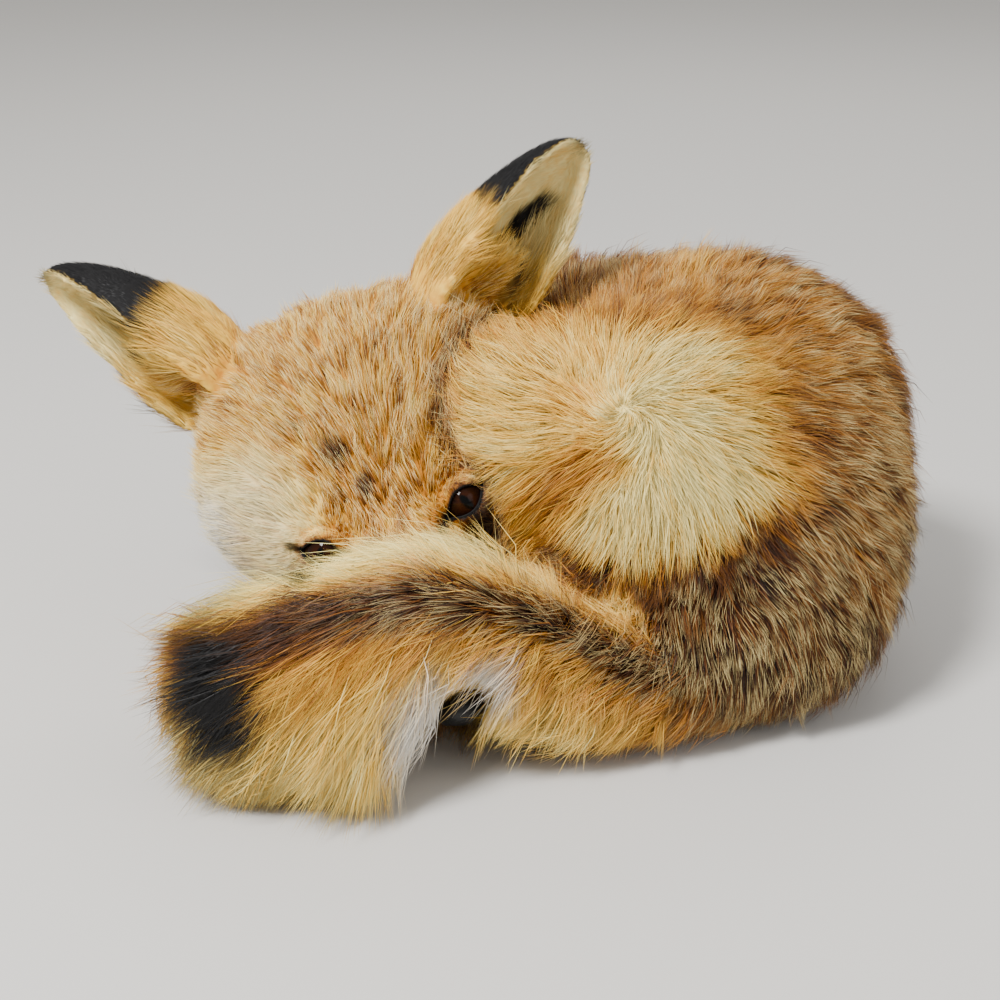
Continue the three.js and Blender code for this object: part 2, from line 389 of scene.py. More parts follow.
shadedCreases = [  # along each crease, how deep it is and how far it reaches to each side, in millimetres, and the tone painted along it as shade in the crease
    {"line": [at(35, -81, 108), at(25, -78, 101), at(10, -74, 87), at(4, -70, 76)],
     "deep": 5.5, "wide": 11, "tone": 0.6},
    {"line": [at(8, -76, 72), at(36, -80, 60), at(58, -86, 60), at(80, -88, 68), at(94, -84, 80)],
     "deep": 5.5, "wide": 9, "tone": 0.92},
]
fullness = {"centre": at(-40, -128, 26), "radii": (24, 24, 22), "less": 9}  # where the tail's coat is thinner
earStuffing = {"along": 0.19, "out": 2.0, "radii": (17, 22, 8)}  # the foot of an ear is full of hair
mouthLine = {"below": 8.5, "rise": 0.05, "wide": 1.3, "deep": 0.9}  # millimetres on the head


def earFoot(name):
    points, faces = solidOf(bmesh.ops.create_icosphere, subdivisions=3, radius=1)
    root, length, axis, mouth, across = earFrames[name]
    centre = root + axis * length * earStuffing["along"] + mouth * earStuffing["out"]
    return fromHead(points * earStuffing["radii"] @ np.stack([across, axis, mouth]) + centre), np.array(faces)


def fleshSolids():  # points, faces, each face's node, and the points swollen a little
    points, faces, owners, swollen = [], [], [], []
    count = 0
    for index, node in enumerate(flesh):
        raw, rawFaces = arraysOf(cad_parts[node].data)
        welded, where = np.unique(np.round(raw, 6), axis=0, return_inverse=True)
        own = where.reshape(-1)[rawFaces]
        corners = welded[own]
        flat = np.cross(corners[:, 1] - corners[:, 0], corners[:, 2] - corners[:, 0])
        normals = np.zeros_like(welded)
        for k in range(3):
            np.add.at(normals, own[:, k], flat)
        swollen.append(welded + unit(normals) * skinShape["overlap"])
        points.append(welded)
        faces.append(own + count)
        owners += [index] * len(own)
        count += len(welded)
    return np.vstack(points), np.vstack(faces), np.array(owners), np.vstack(swollen)


def depthOf(points, share):  # millimetres of coat
    depth = share @ np.array([depth for _, depth in flesh.values()])
    head, trunk, haunch = (share[:, fleshNodes.index(n)] for n in ("head", "trunk", "hind_leg_left"))
    _, y, z = toHead(points).T
    depth += head * deeper["muzzle"] * (1 - smooth(45, 110, y))
    depth += head * deeper["ruff"] * smooth(60, 130, y) * smooth(10, -30, z)
    depth += deeper["underHaunch"] * smooth(0.2, 1, 4 * head * (haunch + trunk))
    for crease in shadedCreases:
        gap = gapTo(points, Line(crease["line"]).nearest(points)[2]) * 1000 / crease["wide"]
        depth += crease["deep"] * np.exp(-gap * gap) * (1 - head)
    return depth - fullness["less"] * within(points, fullness["centre"], fullness["radii"], 0.6)


def evened(points, edges, thin, rounds):
    return mix(relax(points, edges, rounds[0]), steady(points, edges, rounds[1]), thin[:, None])


def buildSkin():
    rawPoints, rawFaces, owners, solids = fleshSolids()
    solidFaces = rawFaces
    for name in ears:
        points, faces = earFoot(name)
        solidFaces = np.vstack([solidFaces, faces + len(solids)])
        solids = np.vstack([solids, points])
    mesh = remeshed(solids, solidFaces, skinShape["voxel"])
    points, faces = arraysOf(mesh)
    edges = edgesOf(mesh)

    tree = treeOf(rawPoints, rawFaces)
    owner = owners[[tree.find_nearest(p)[2] for p in points.tolist()]]
    share = relax(np.eye(len(flesh))[owner], edges, skinShape["blendRounds"])
    thin = smooth(0.1, 0.6, share[:, fleshNodes.index("ear_left")] + share[:, fleshNodes.index("ear_right")])
    points = evened(points, edges, thin, skinShape["rounds"])
    movePoints(mesh, points)
    normals = unit(relax(normalsOf(mesh), edges, 10, mix(0.5, 0.15, thin)))
    depth = depthOf(points, share)
    inner = points - normals * (depth / 1000)[:, None]
    inner[:, 2] = np.maximum(inner[:, 2], skinShape["floor"] + 0.1 * np.minimum(inner[:, 2], 0))

    mesh = remeshed(inner, faces, skinShape["voxel"])
    points, _ = arraysOf(mesh)
    tree = treeOf(inner, faces)
    source = faces[[tree.find_nearest(p)[2] for p in points.tolist()], 0]
    share, depth = share[source], depth[source]
    points = evened(points, edgesOf(mesh), thin[source], skinShape["lastRounds"])
    movePoints(mesh, points)
    finerAtEyes(mesh)
    finer, _ = arraysOf(mesh)
    source = nearestAmong(finer, points)
    movePoints(mesh, carveFace(finer, share[source], edgesOf(mesh)))
    return mesh, share[source], depth[source] / 1000


def finerAtEyes(mesh):  # the lids need smaller faces than the rest
    build = bmesh.new()
    build.from_mesh(mesh)
    reach = lids["finerWithin"] / 1000
    for _ in range(2):
        close = set()
        for centre, _, _ in eyeFrames.values():
            close |= {e for e in build.edges if (e.verts[0].co - Vector(centre)).length < reach}
        bmesh.ops.subdivide_edges(build, edges=list(close), cuts=1, use_grid_fill=True)
    bmesh.ops.triangulate(build, faces=build.faces)
    build.to_mesh(mesh)
    build.free()
    mesh.update()


def swell(outside, shape):  # a soft ridge that follows the rim of the lids
    return shape["high"] * np.exp(-((outside - shape["from"]) ** 2) / shape["soft"])


def carveFace(points, share, edges):
    head = share[:, fleshNodes.index("head")]
    for name, (centre, radius, axes) in eyeFrames.items():
        place, outside = aroundEye(name, points)
        across = np.hypot(place[:, 0], place[:, 1])
        close = (across < lids["reach"]) & (np.abs(place[:, 2]) < 12) & (head > 0.3)
        lidHeight = np.sqrt(np.maximum((radius + lids["thick"]) ** 2 - across**2, 0))
        backHeight = np.sqrt(np.maximum((radius - lids["behind"]) ** 2 - across**2, 0))
        brow = swell(outside, lids["brow"]) * smooth(0, 3, place[:, 1])
        bag = swell(outside, lids["bag"]) * smooth(0, -3, place[:, 1])
        lid = np.maximum(place[:, 2], lidHeight) + brow + bag
        lid = mix(place[:, 2], lid, smooth(lids["reach"], 9, across))
        target = mix(np.minimum(backHeight, lid), lid, smooth(-0.45, 0.3, outside))
        place[:, 2] = np.where(close, target, place[:, 2])
        points = np.where(close[:, None], place / 1000 @ axes + centre, points)
        soft = np.where(close & (outside > 0.2), 0.35 * np.clip(outside / 2, 0.1, 1), 0.0)
        points = relax(points, edges, 3, soft)
    x, y, z = toHead(points).T
    line = np.exp(-(((z + mouthLine["below"] + mouthLine["rise"] * y) / mouthLine["wide"]) ** 2))
    line *= smooth(58, 48, y) * smooth(3, 8, y) * head
    return points - headTurn[0] * (np.sign(x) * line * mouthLine["deep"] / 1000)[:, None]


skinMesh, nodeShare, skinDepth = buildSkin()
regionShare = np.stack([nodeShare[:, [flesh[n][0] == r for n in flesh]].sum(axis=1) for r in regions], axis=1)
skinPoints, skinFaces = arraysOf(skinMesh)
skinNormals = unit(normalsOf(skinMesh))
skinTree = treeOf(skinPoints, skinFaces)
print("fox: skin of", len(skinFaces), "triangles")


# which way the coat lies, with some of the places where it changes
foldShade = {"centre": fromHead((31, 61, -1)), "radii": (8, 10, 9), "black": 0.5}  # painted shade in the crevice between the eye and the haunch
underTail = {"centre": at(18, -98, 10), "radii": (20, 26, 18)}
earRim = {"from": 78, "to": 55, "curve": 16}  # millimetres: where an ear fades out, and how its hollow curves
swirl = {"middle": 0.85, "near": 0.3, "far": 0.75}  # how the coat turns about the whorl on its way out
fan = {"out": 1.1, "down": 0.9, "cheek": 0.7, "fromEye": 2.2}  # how the head's coat spreads as it runs back
tailLie = {"out": (0.2, 0.6), "hang": 2.6, "way": np.array([-0.5, -0.2, -1.0])}
lie = {"nape": unit(np.array([-0.15, 0.75, -0.55])), "leg": np.array([-0.2, -1, -0.1])}


def earMasks(name, p, normals):  # how far a place is this ear's and its inside's; along it; across it
    root, length, axis, mouth, sideways = earFrames[name]
    place = toHead(p) - root
    across = place @ sideways
    mine = smooth(earRim["from"], earRim["to"], gapTo(place, axis * length / 2))
    pull = mouth - sideways * (across / earRim["curve"])[:, None]
    inside = smooth(-0.05, 0.35, np.sum((normals @ headTurn.T) * unit(pull), axis=1))
    return mine, inside, place @ axis / length, across


def underChin(p):  # the fur that hangs from the chin to the floor
    _, y, z = toHead(p).T
    return smooth(-2, -7, z) * smooth(0, 4, y) * smooth(45, 25, y)


def underNose(p):  # where the tail's hair reaches across the floor to below the nose
    return within(p, underTail["centre"], underTail["radii"])


def headFlow(p, normals):
    x, y, z = toHead(p).T[:, :, None]
    cheek = smooth(30, 60, np.abs(x)) * smooth(150, 80, y)
    aside = fan["out"] * x / 60 + fan["cheek"] * np.sign(x) * cheek
    flow = unit(np.hstack([aside, np.ones_like(x), -fan["down"] * smooth(-5, -35, z)]) @ headTurn)
    flow = mix(flow, places["chinWay"], underChin(p)[:, None])
    for name, (centre, _, _) in eyeFrames.items():
        _, outside = aroundEye(name, p)
        off = flatten(p - centre, normals)
        close = np.exp(-np.clip(outside, 0, 99) / 7) * (gapTo(off, 0) < 0.03)
        flow = flow + fan["fromEye"] * close[:, None] * unit(off)
    return flow


def tailFlow(p, normals):
    far, along, centre = tailAxis.nearest(p)
    away = unit(p - centre)
    far = far[:, None]
    hang = tailLie["hang"] * smooth(0.85, 0.15, away[:, 2:3]) * smooth(0.12, 0.36, far)
    flow = along + mix(*tailLie["out"], smooth(0.75, 1, far)) * away + hang * tailLie["way"]
    return mix(unit(flatten(flow, normals)), places["acrossFloor"], underNose(p)[:, None])


def coatFlow(p, normals, share):
    head, ear, neck, body, leg, tail = share.T[:, :, None]
    reach = gapTo(p, places["whorl"])[:, None]
    out = unit(p - places["whorl"])
    clockwise = np.cross(out, places["whorlAxis"])
    turn = mix(swirl["middle"], swirl["near"], smooth(0.008, 0.03, reach))
    turn += swirl["far"] * smooth(0.06, 0.19, reach)
    flow = body * unit(flatten(out + turn * clockwise, normals))
    flow += head * unit(flatten(headFlow(p, normals), normals))
    for name, (_, _, axis, _, sideways) in earFrames.items():
        mine, _, _, across = earMasks(name, p, normals)
        way = axis - 0.5 * (across / 40)[:, None] * sideways
        flow += ear * mine[:, None] * unit(flatten(way @ headTurn, normals))
    flow += neck * unit(flatten(lie["nape"] + 0.4 * clockwise, normals))
    flow += leg * unit(flatten(lie["leg"] + 0 * p, normals))
    flow += tail * tailFlow(p, normals)
    return unit(flatten(flow, normals))


# markings: how russet, black and white the coat is, and whether its tips turn light or dark
# each patch has its middle, its radii in millimetres, how russet it is and how strongly it shows
tones = {  # from 0 for cream, through russet, to 1 for nearly black; the tones under the haunch, in the crevice by the eye and of the tail at the floor are painted shade
    "haunch": 0.02, "flank": 0.62, "loin": 0.55, "rump": 0.86, "belly": 0.3, "farSide": 0.16,
    "crown": 0.48, "cheek": 0.08, "nape": 0.45, "muzzle": 0.6, "underHaunch": 0.85, "foldShade": 0.95, "lid": 0.7,
    "earBack": 0.3, "earInside": 0.24, "lining": 0.06, "neck": 0.35,
    "tail": 0.42, "tailUnder": 0.16, "stripe": 0.86, "tailTop": 0.03, "tailRoot": 0.82, "tailFloorShade": 0.75,
}
haunchPatches = [(at(57, -86, 88), (30, 40, 22), 0.08, 0.9), (at(8, -52, 118), (30, 36, 30), 0.24, 0.85)]
flankPatches = [
    (at(42, -90, 54), (9, 12, 9), 0.12, 1), (at(24, -112, 22), (22, 26, 20), 0.3, 0.8),
    (at(76, 33, 156), (16, 20, 12), 0.25, 0.8),
]
facePatches = [
    (fromHead((-34, 92, 14)), (13, 13, 15), 0.06, 0.85), (fromHead((-63, 157, -32)), (20, 20, 22), 0.55, 0.8),
]
dimples = [(fromHead((-11, 103, 19)), (5, 6, 6)), (fromHead((-4, 87, 16)), (4, 6, 6))]
blackPatch = (at(-91, -140, 46), (14, 34, 18), 0.65)  # near the end of the tail
# to each side of the nose
whitePatches = [(at(-27, -124, 32), (12, 22, 18), 0.4), (at(-3, -120, 42), (10, 16, 11), 0.4)]
eyeCorners = {"inner": (-11, 3.5, -0.35), "outer": (10.5, 2.5, -0.25)}  # middle, half length and slope


def patched(tone, p, patches):
    for centre, radii, russet, strength in patches:
        tone = mix(tone, russet, strength * within(p, centre, radii))
    return tone


def bodyMarks(p, body, cloud, ridge, run):
    out = gapTo(p, places["whorl"])
    pale = smooth(0.018, 0.075, gapTo(p, places["pale"]) + 0.012 * cloud)
    back = mix(tones["loin"], tones["rump"], smooth(0.3, 0.62, run))
    russet = mix(tones["haunch"], tones["flank"], pale)
    russet = mix(russet, back, smooth(0.058, 0.024, ridge) * smooth(0.05, 0.085, out))
    russet = patched(russet, p, haunchPatches)
    # painted shade along the creases: the first is an orange-brown line of fur in the crease, darkened as
    # painted shade; the second is the painted shadow under the bulge of the haunch
    for crease in shadedCreases:
        near = smooth(0.018, 0.006, gapTo(p, Line(crease["line"]).nearest(p)[2]))
        russet = mix(russet, crease["tone"], 0.85 * body * near)
    russet = patched(russet, p, flankPatches)
    russet = mix(russet, tones["belly"], body * smooth(0.045, 0.0, p[:, 2]) * smooth(0.05, 0.07, ridge))
    tips = 0.5 + 0.4 * smooth(0.08, 0.04, ridge) * smooth(0.06, 0.1, out) + 0.2 * smooth(0.04, 0.08, out)
    farSide = smooth(0.112, 0.132, out) * body  # it has no pale tips
    tips = mix(tips + 0.3 * waves(p, 0.014, 5, 2), 0.56, farSide)
    black = 0.7 * body * within(p, places["whorl"], (8, 14, 8)) * smooth(0.1, 0.5, waves(p, 0.005, 12, 2))
    return russet + tones["farSide"] * farSide, black, tips


def faceMarks(p, cloud, fine):
    x, y, z = toHead(p).T
    side = np.abs(x)
    russet = tones["crown"] + 0.06 * cloud + 0.1 * fine
    russet = mix(russet, tones["cheek"], smooth(18, 48, side) * smooth(138, 108, y))
    russet = mix(russet, tones["nape"], smooth(125, 165, y))
    russet = mix(russet, tones["muzzle"], smooth(64, 50, y) * smooth(16, 8, side) * smooth(-14, -6, z))
    dimple = np.maximum(*[within(p, *place) for place in dimples])
    russet = patched(mix(russet, 0.85, 0.9 * dimple), p, facePatches)
    lip = smooth(72, 56, y) * smooth(-5, -11, z) + 0.8 * smooth(15, 21, side) * smooth(62, 44, y)
    ruff = smooth(52, 66, side) * smooth(125, 95, y) + smooth(-30, -48, z) * smooth(150, 120, y)
    white = 0.35 * smooth(24, 46, side) * smooth(125, 100, y)
    white += np.clip(lip + 0.7 * ruff, 0, 1) * (1 - 0.85 * underChin(p))
    return russet, 0.4 * dimple, white, 0.5 + 0.5 * smooth(55, 80, y)


def eyeMarks(name, p):  # the dark of the lids, and the rings around them without the coat's own tone and tips
    place, outside = aroundEye(name, p)
    x, y, z = place.T
    front = smooth(-2, 1, z) * smooth(20, 15, np.hypot(x, y))
    drawn = {}
    for corner, (centre, half, slope) in eyeCorners.items():
        bent = y + slope * (x + 8 if corner == "inner" else x - 8)
        drawn[corner] = np.hypot(bent, np.maximum(0, np.abs(x - centre) - half))
    corners = np.maximum(smooth(3.4, 1.2, drawn["inner"]), 0.85 * smooth(2.2, 0.9, drawn["outer"]))
    black = front * (smooth(1.9, 0.7, outside) + corners)
    return black, 0.85 * front * smooth(3.6, 1.0, outside), front * smooth(4.5, 2.5, outside)


def tailMarks(p, cloud, fine, ridge, spineAt):
    far, _, centre = tailAxis.nearest(p)
    around = unit(p - centre)
    stripe = smooth(0.88, 0.98, np.sum(around * unit(spineAt - centre), axis=1) + 0.02 * fine)
    stripe *= smooth(0.95, 0.75, far)
    top = smooth(0.6, 0.85, around @ unit(np.array([0, 0.45, 0.9])) + 0.04 * fine)
    under = smooth(0.002, -0.018, p[:, 2] - centre[:, 2])
    russet = mix(tones["tail"] + 0.06 * cloud, tones["tailUnder"], under)
    russet = mix(russet, tones["stripe"], stripe)
    russet = mix(russet, tones["tailTop"], top * smooth(0.28, 0.42, far))
    russet = mix(russet, tones["tailRoot"], smooth(0.25, 0.12, far) * smooth(0.05, 0.03, ridge))
    # painted shade: the first half of the tail darker within two centimetres of the floor
    russet = mix(russet, tones["tailFloorShade"], smooth(0.55, 0.4, far) * smooth(0.02, 0.006, p[:, 2]))
    black = 1.6 * within(p, *blackPatch) + 0.75 * smooth(0.9, 0.98, far + 0.03 * fine)
    white = 0.95 * within(p, *whitePatches[0]) + 0.9 * within(p, *whitePatches[1])
    dark = smooth(0.55, 0.82, far)
    return russet, black, white, mix(0.62, 0.15, dark) + 0.15 * stripe * (1 - dark)


def markings(p, normals, share):
    head, ear, neck, body, leg, tail = share.T
    cloud, fine = waves(p, 0.045, 3), waves(p, 0.012, 4)
    run, _, spineAt = spine.nearest(p)
    ridge = gapTo(p, spineAt) + 0.006 * cloud
    russet, black, tips = bodyMarks(p, body, cloud, ridge, run)

    face, faceBlack, faceWhite, faceTips = faceMarks(p, cloud, fine)
    russet, tips = mix(russet, face, head), mix(tips, faceTips, head)
    # painted shade where the head presses against the haunch
    russet = mix(russet, tones["underHaunch"], 0.8 * smooth(0.35, 0.9, 4 * head * body))
    # painted shade: darker tone and some black in the crevice between the eye and the haunch
    corner = within(p, foldShade["centre"], foldShade["radii"])
    russet = mix(russet, tones["foldShade"], corner)
    black += head * faceBlack + foldShade["black"] * corner
    white = head * faceWhite
    for name in eyeFrames:
        rim, ring, plain = eyeMarks(name, p)
        black += rim
        russet = mix(russet, tones["lid"], ring * head)
        tips = mix(tips, 0.5, plain * head)

    for name, shape in ears.items():
        mine, inside, along, across = earMasks(name, p, normals)
        mine = mine * ear
        start, (middleAt, low, high) = shape["blackFrom"], shape["hollowSkinAndShade"]
        lining = mine * inside * smooth(0.36, 0.48, along)
        # painted shade deep in the ear's cup, over the dark skin inside it
        hollowSkinAndShade = smooth(4.6, 2.4, np.abs(across - middleAt))
        hollowSkinAndShade *= smooth(high + 0.1, high, along) * smooth(low - 0.05, low, along)
        russet = mix(russet, tones["earBack"], mine * (1 - inside))
        russet = mix(mix(russet, tones["earInside"], mine * inside), tones["lining"], lining)
        black += mine * (1 - inside) * smooth(start, start + 0.14, along + 0.03 * fine)
        black += mine * inside * hollowSkinAndShade + 0.7 * mine * smooth(0.92, 0.99, along)
        white += 0.1 * lining
        tips = mix(tips, 0.5, mine)

    brush, brushBlack, brushWhite, brushTips = tailMarks(p, cloud, fine, ridge, spineAt)
    russet, tips = mix(russet, brush, tail), mix(tips, brushTips, tail)
    black += tail * brushBlack + 0.95 * leg
    white += tail * brushWhite
    russet = mix(russet, tones["neck"], neck * 0.6) + 0.06 * cloud * body + 0.05 * fine
    return np.clip(np.stack([russet, black, white, tips], axis=1), 0, 1)


# the coat: one row for each layer of hair, with lengths and widths in millimetres
# gather: how hairs close up at their tips; lock: hairs to a lock; bends: 1 is a plain spike, 2 a curved one
columns = ("of", "hairs", "length", "width", "gather", "lock", "stray", "contrast", "bends", "longer")
layers = {
    "head": ("head", 64000, 12, 0.44, 0.5, 50, 0.17, 1.9, 1, 1),
    "ear": ("ear", 18000, 5.5, 0.45, 0.2, 40, 0.14, 1, 1, 1),
    "neck": ("neck", 9000, 30, 0.75, 0.7, 45, 0.16, 1.2, 2, 1),
    "body": ("body", 128000, 16, 0.44, 0.85, 80, 0.22, 1.4, 1, 1),
    "body_long": ("body", 21000, 16, 0.44, 0.8, 12, 0.2, 1.3, 2, 1.5),
    "leg": ("leg", 7000, 8, 0.5, 0.2, 30, 0.14, 1, 1, 1),
    "tail": ("tail", 62000, 27, 0.5, 0.6, 80, 0.2, 1.4, 1, 1),
    "tail_long": ("tail", 14000, 27, 0.5, 0.6, 20, 0.2, 1.4, 2, 1.45),
}
tresses = {name: dict(zip(columns, row)) for name, row in layers.items()}
hairLengths = {  # millimetres
    "muzzle": 3.5, "crown": 13, "cheek": 22, "nape": 17, "lid": 2.6, "brow": 12, "lip": 9, "chin": 21,
    "earInside": 5.5, "earFringe": 17, "underNose": 36,
}
coat = {
    "share": 1.0,
    "mostHairs": {1: 45000, 2: 18500},  # in one piece, by bends
    "soft": 0.5,  # how far hairs are lit as the body under them is
    "past": 0.0125,  # no hair goes further past the solids
    "rootBelow": 0.0004, "offFloor": 0.0006,
    "flat": 0.6, "thins": (1.0, 0.7),  # a hair's thickness to its width, and its width from bend to bend
    "patch": (0.0013, 0.0028),  # each hair's place on the unwrap, half across and along
}
growth = {  # how hairs differ, mostly as shares of their length
    "smallLock": 9, "length": (0.7, 1.15), "width": (0.7, 1.2), "thickest": 0.12,
    "lift": (0.6, 1.15), "lockLift": (0.65, 1.3), "lowest": 0.16, "highest": 0.75,
    "wild": 0.1, "wildLength": 1.15, "wildHeight": 1.7,
    "pull": (0.5, 1.1), "smallPull": 0.7, "bigPull": 0.6, "lockReach": (0.013, 0.007),  # metres
    "toneShares": (0.55, 0.25, 0.2),  # of the hair, its small lock and its big lock
}
reachLow, reachHigh = np.array(cadBox[0]) - coat["past"], np.array(cadBox[1]) + coat["past"]
nosePart = {  # the tail's hairs part this way in front of the nose
    "way": unit(np.array([0.1, -0.93, 0.36])), "centre": fromHead((-2, 1, 1)),
    "radius": 0.0086, "reach": 0.045,
    "crossing": 0.03,  # the share of hairs that cross it all the same
}
bareNose = {"radii": (9.5, 6, 7.5), "middle": (0, 1, 2)}


def openness():  # 1 where the skin can be seen from outside, less where it is pressed or folded away
    ways = [(0, 0), (0.8, 0.0), (0.8, 2.1), (0.8, 4.2)]  # how far from straight out, and which way round
    upward = unit(np.cross(skinNormals, unit(np.array([0.3, 0.5, 0.8]))))
    across = np.cross(skinNormals, upward)
    blocked = np.zeros(len(skinPoints))
    starts = (skinPoints + skinNormals * 0.001).tolist()
    for tilt, turn in ways:
        aside = math.cos(turn) * upward + math.sin(turn) * across
        rays = math.cos(tilt) * skinNormals + math.sin(tilt) * aside
        for i, (start, ray) in enumerate(zip(starts, rays.tolist())):
            blocked[i] += skinTree.ray_cast(start, ray, 0.05)[0] is not None
    seen = 1 - smooth(1.5, 3.5, blocked)
    seen *= 1 - 0.9 * smooth(-0.75, -0.95, skinNormals[:, 2]) * smooth(0.02, 0.008, skinPoints[:, 2])
    return mix(0.12, 1, relax(seen[:, None], edgesOf(skinMesh), 6)[:, 0])


def bareness():  # 0 in the openings of the eyes and under the nose pad
    bare = np.ones(len(skinPoints))
    for name in eyeFrames:
        place, outside = aroundEye(name, skinPoints)
        front = (np.hypot(place[:, 0], place[:, 1]) < 11) & (place[:, 2] > -3)
        bare *= np.where(front, smooth(-0.2, 0.4, outside), 1)
    pad = gapTo((toHead(skinPoints) - bareNose["middle"]) / bareNose["radii"], 0)
    return bare * smooth(1.05, 1.35, pad)


def scatter(count, weight):  # places on the skin: triangle, and how near each of its corners
    corners = skinPoints[skinFaces]
    area = np.linalg.norm(np.cross(corners[:, 1] - corners[:, 0], corners[:, 2] - corners[:, 0]), axis=1)
    total = np.cumsum(area * weight[skinFaces].mean(axis=1))
    wanted = (np.arange(count) + chance.random(count)) / count * total[-1]
    which = np.minimum(np.searchsorted(total, wanted), len(skinFaces) - 1)
    bary = chance.random((count, 2))
    bary = np.where(bary.sum(axis=1, keepdims=True) > 1, 1 - bary, bary)
    return which, np.hstack([bary, 1 - bary.sum(axis=1, keepdims=True)])


def between(values, which, bary):
    return np.einsum("nk,nkd->nd", bary, values.reshape(len(values), -1)[skinFaces[which]])


def onSkin(p):
    found = [skinTree.find_nearest(q) for q in p.tolist()]
    return np.array([f[0] for f in found]), np.array([f[2] for f in found])


def usual(column, shares):  # what the coat of each region has, in metres
    return shares @ np.array([tresses[r][column] for r in regions]) / 1000


def faceLengths(root):
    x, y, z = toHead(root).T
    own = hairLengths
    face = mix(own["muzzle"], own["crown"], smooth(20, 120, y))
    face = mix(face, own["cheek"], smooth(45, 66, np.abs(x)) * smooth(70, 95, y))
    face = mix(face, own["nape"], smooth(135, 160, y))
    for name in eyeFrames:
        face = np.minimum(face, mix(own["lid"], own["brow"], smooth(0, 16, aroundEye(name, root)[1])))
    face = mix(face, own["lip"], smooth(-1, -7, z) * smooth(4, 12, y) * smooth(60, 45, y))
    return mix(face, own["chin"], underChin(root)) / 1000


def lengthsAt(root, normal, shares):
    head, ear, _, body, _, tail = shares.T
    length = usual("length", shares) + head * (faceLengths(root) - tresses["head"]["length"] / 1000)
    length *= mix(1, mix(0.4, 1, smooth(0.002, 0.04, gapTo(root, places["whorl"]))), body)
    pressed = smooth(0.028, 0.002, root[:, 2]) * (body + tail)
    length = mix(length * mix(1, 0.65, pressed), hairLengths["underNose"] / 1000, tail * underNose(root))
    for name in ears:
        mine, inside, along, across = earMasks(name, root, normal)
        fringe = inside * smooth(4, 9, np.abs(across)) * smooth(0.8, 0.5, along)
        fringe = np.maximum(fringe, smooth(0.5, 0.25, along))
        own = mix(hairLengths["earInside"], hairLengths["earFringe"], fringe) / 1000
        length = mix(length, own, ear * mine)
    far, _, _ = tailAxis.nearest(root)
    brush = mix(0.62, 1.0, smooth(0.15, 0.55, far)) * mix(1, 0.6, smooth(0.8, 0.95, far))
    return length * mix(1, brush, tail)


def sown(region, spec):  # where the hairs of a layer are rooted
    crowd = 1 + 1.6 * np.exp(-((gapTo(skinPoints, places["whorl"]) / 0.014) ** 2))
    if region == "head":  # the shorter the hair, the closer it stands
        crowd *= np.clip(0.009 / lengthsAt(skinPoints, skinNormals, regionShare), 1, 4.5)
        crowd *= 1 + 14 * underChin(skinPoints)
    share = regionShare[:, regions.index(spec["of"])]
    return scatter(int(spec["hairs"] * coat["share"]), share * skinOpen * crowd)


def laid(root, normal, flow, length, height, bends):  # each hair's path over the skin, and how far it runs
    path = [root - normal * coat["rootBelow"]]
    run = np.sqrt(np.maximum(length**2 - height**2, (0.5 * length) ** 2))
    for station, rise in ((0.5, 0.7), (1.0, 1.0)) if bends == 2 else ((1.0, 1.0),):
        target = root + flow * (run * station)[:, None]
        foot, tri = onSkin(target)
        slip = gapTo(foot, target)[:, None] / length[:, None]
        facing = unit(skinNormals[skinFaces[tri]].mean(axis=1))
        straight = target + normal * (height * rise)[:, None]
        snapped = foot + facing * (height * rise)[:, None]
        path.append(mix(snapped, straight, smooth(0.3, 0.5, slip)))
    return path, run


def growHairs(region, spec):
    which, bary = sown(region, spec)
    count = len(which)
    root = between(skinPoints, which, bary)
    normal = unit(between(skinNormals, which, bary))
    shares = between(regionShare, which, bary)
    depth = between(skinDepth, which, bary)[:, 0]
    small, big = (nearestAmong(root, root[::every]) * every for every in (growth["smallLock"], spec["lock"]))
    flow = coatFlow(root, normal, shares)
    stray = spec["stray"] * (chance.normal(size=(count, 1)) + 1.2 * waves(root, 0.018, 11)[:, None])
    stray += 1.1 * spec["stray"] * chance.normal(size=(count, 1))[big]
    flow = unit(flow + stray * np.cross(normal, flow))

    length = lengthsAt(root, normal, shares) * chance.uniform(*growth["length"], count) * spec["longer"]
    width = np.minimum(usual("width", shares), length * growth["thickest"])
    width *= chance.uniform(*growth["width"], count)
    lift = chance.uniform(*growth["lift"], count) * chance.uniform(*growth["lockLift"], count)[big]
    height = np.clip(depth * lift, growth["lowest"] * length, growth["highest"] * length)
    wild = chance.random(count) < growth["wild"]
    length = np.where(wild, growth["wildLength"] * length, length)
    height = np.where(wild, growth["wildHeight"] * height, height)
    path, run = laid(root, normal, flow, length, height, spec["bends"])

    tip = path[-1].copy()
    gather = spec["gather"] * mix(1, 0.5, np.exp(-((gapTo(root, places["whorl"]) / 0.06) ** 2)))
    for lock, amount in ((small, growth["smallPull"]), (big, growth["bigPull"])):
        pull = amount * gather[:, None] * chance.uniform(*growth["pull"], (count, 1))
        pull *= smooth(*growth["lockReach"], gapTo(root[lock], root))[:, None]
        path[-1] = mix(path[-1], path[-1][lock] + 0.25 * (root - root[lock]), pull)
    path[-1][:, 2] = np.maximum(path[-1][:, 2], coat["offFloor"])
    if spec["bends"] == 2:
        path[1] += 0.5 * (path[2] - tip)
        path[1][:, 2] = np.maximum(path[1][:, 2], coat["offFloor"])
    path[1:] = [np.clip(p, reachLow, reachHigh) for p in path[1:]]
    locks = (np.arange(count), small, big)
    tone = sum(part * chance.random(count)[lock] for part, lock in zip(growth["toneShares"], locks))
    keep = clearOf(path, chance.random(count) < nosePart["crossing"])
    seen = root + flow * (0.45 * run * (1 - shares[:, regions.index("ear")]))[:, None]
    hairs = {
        "normal": normal, "width": width, "tone": 0.5 + (tone - 0.5) * spec["contrast"],
        "luck": chance.random(count), "marks": markings(seen, normal, shares),
        "place": bakePlace(root, which),
    }
    return [p[keep] for p in path], {kind: values[keep] for kind, values in hairs.items()}


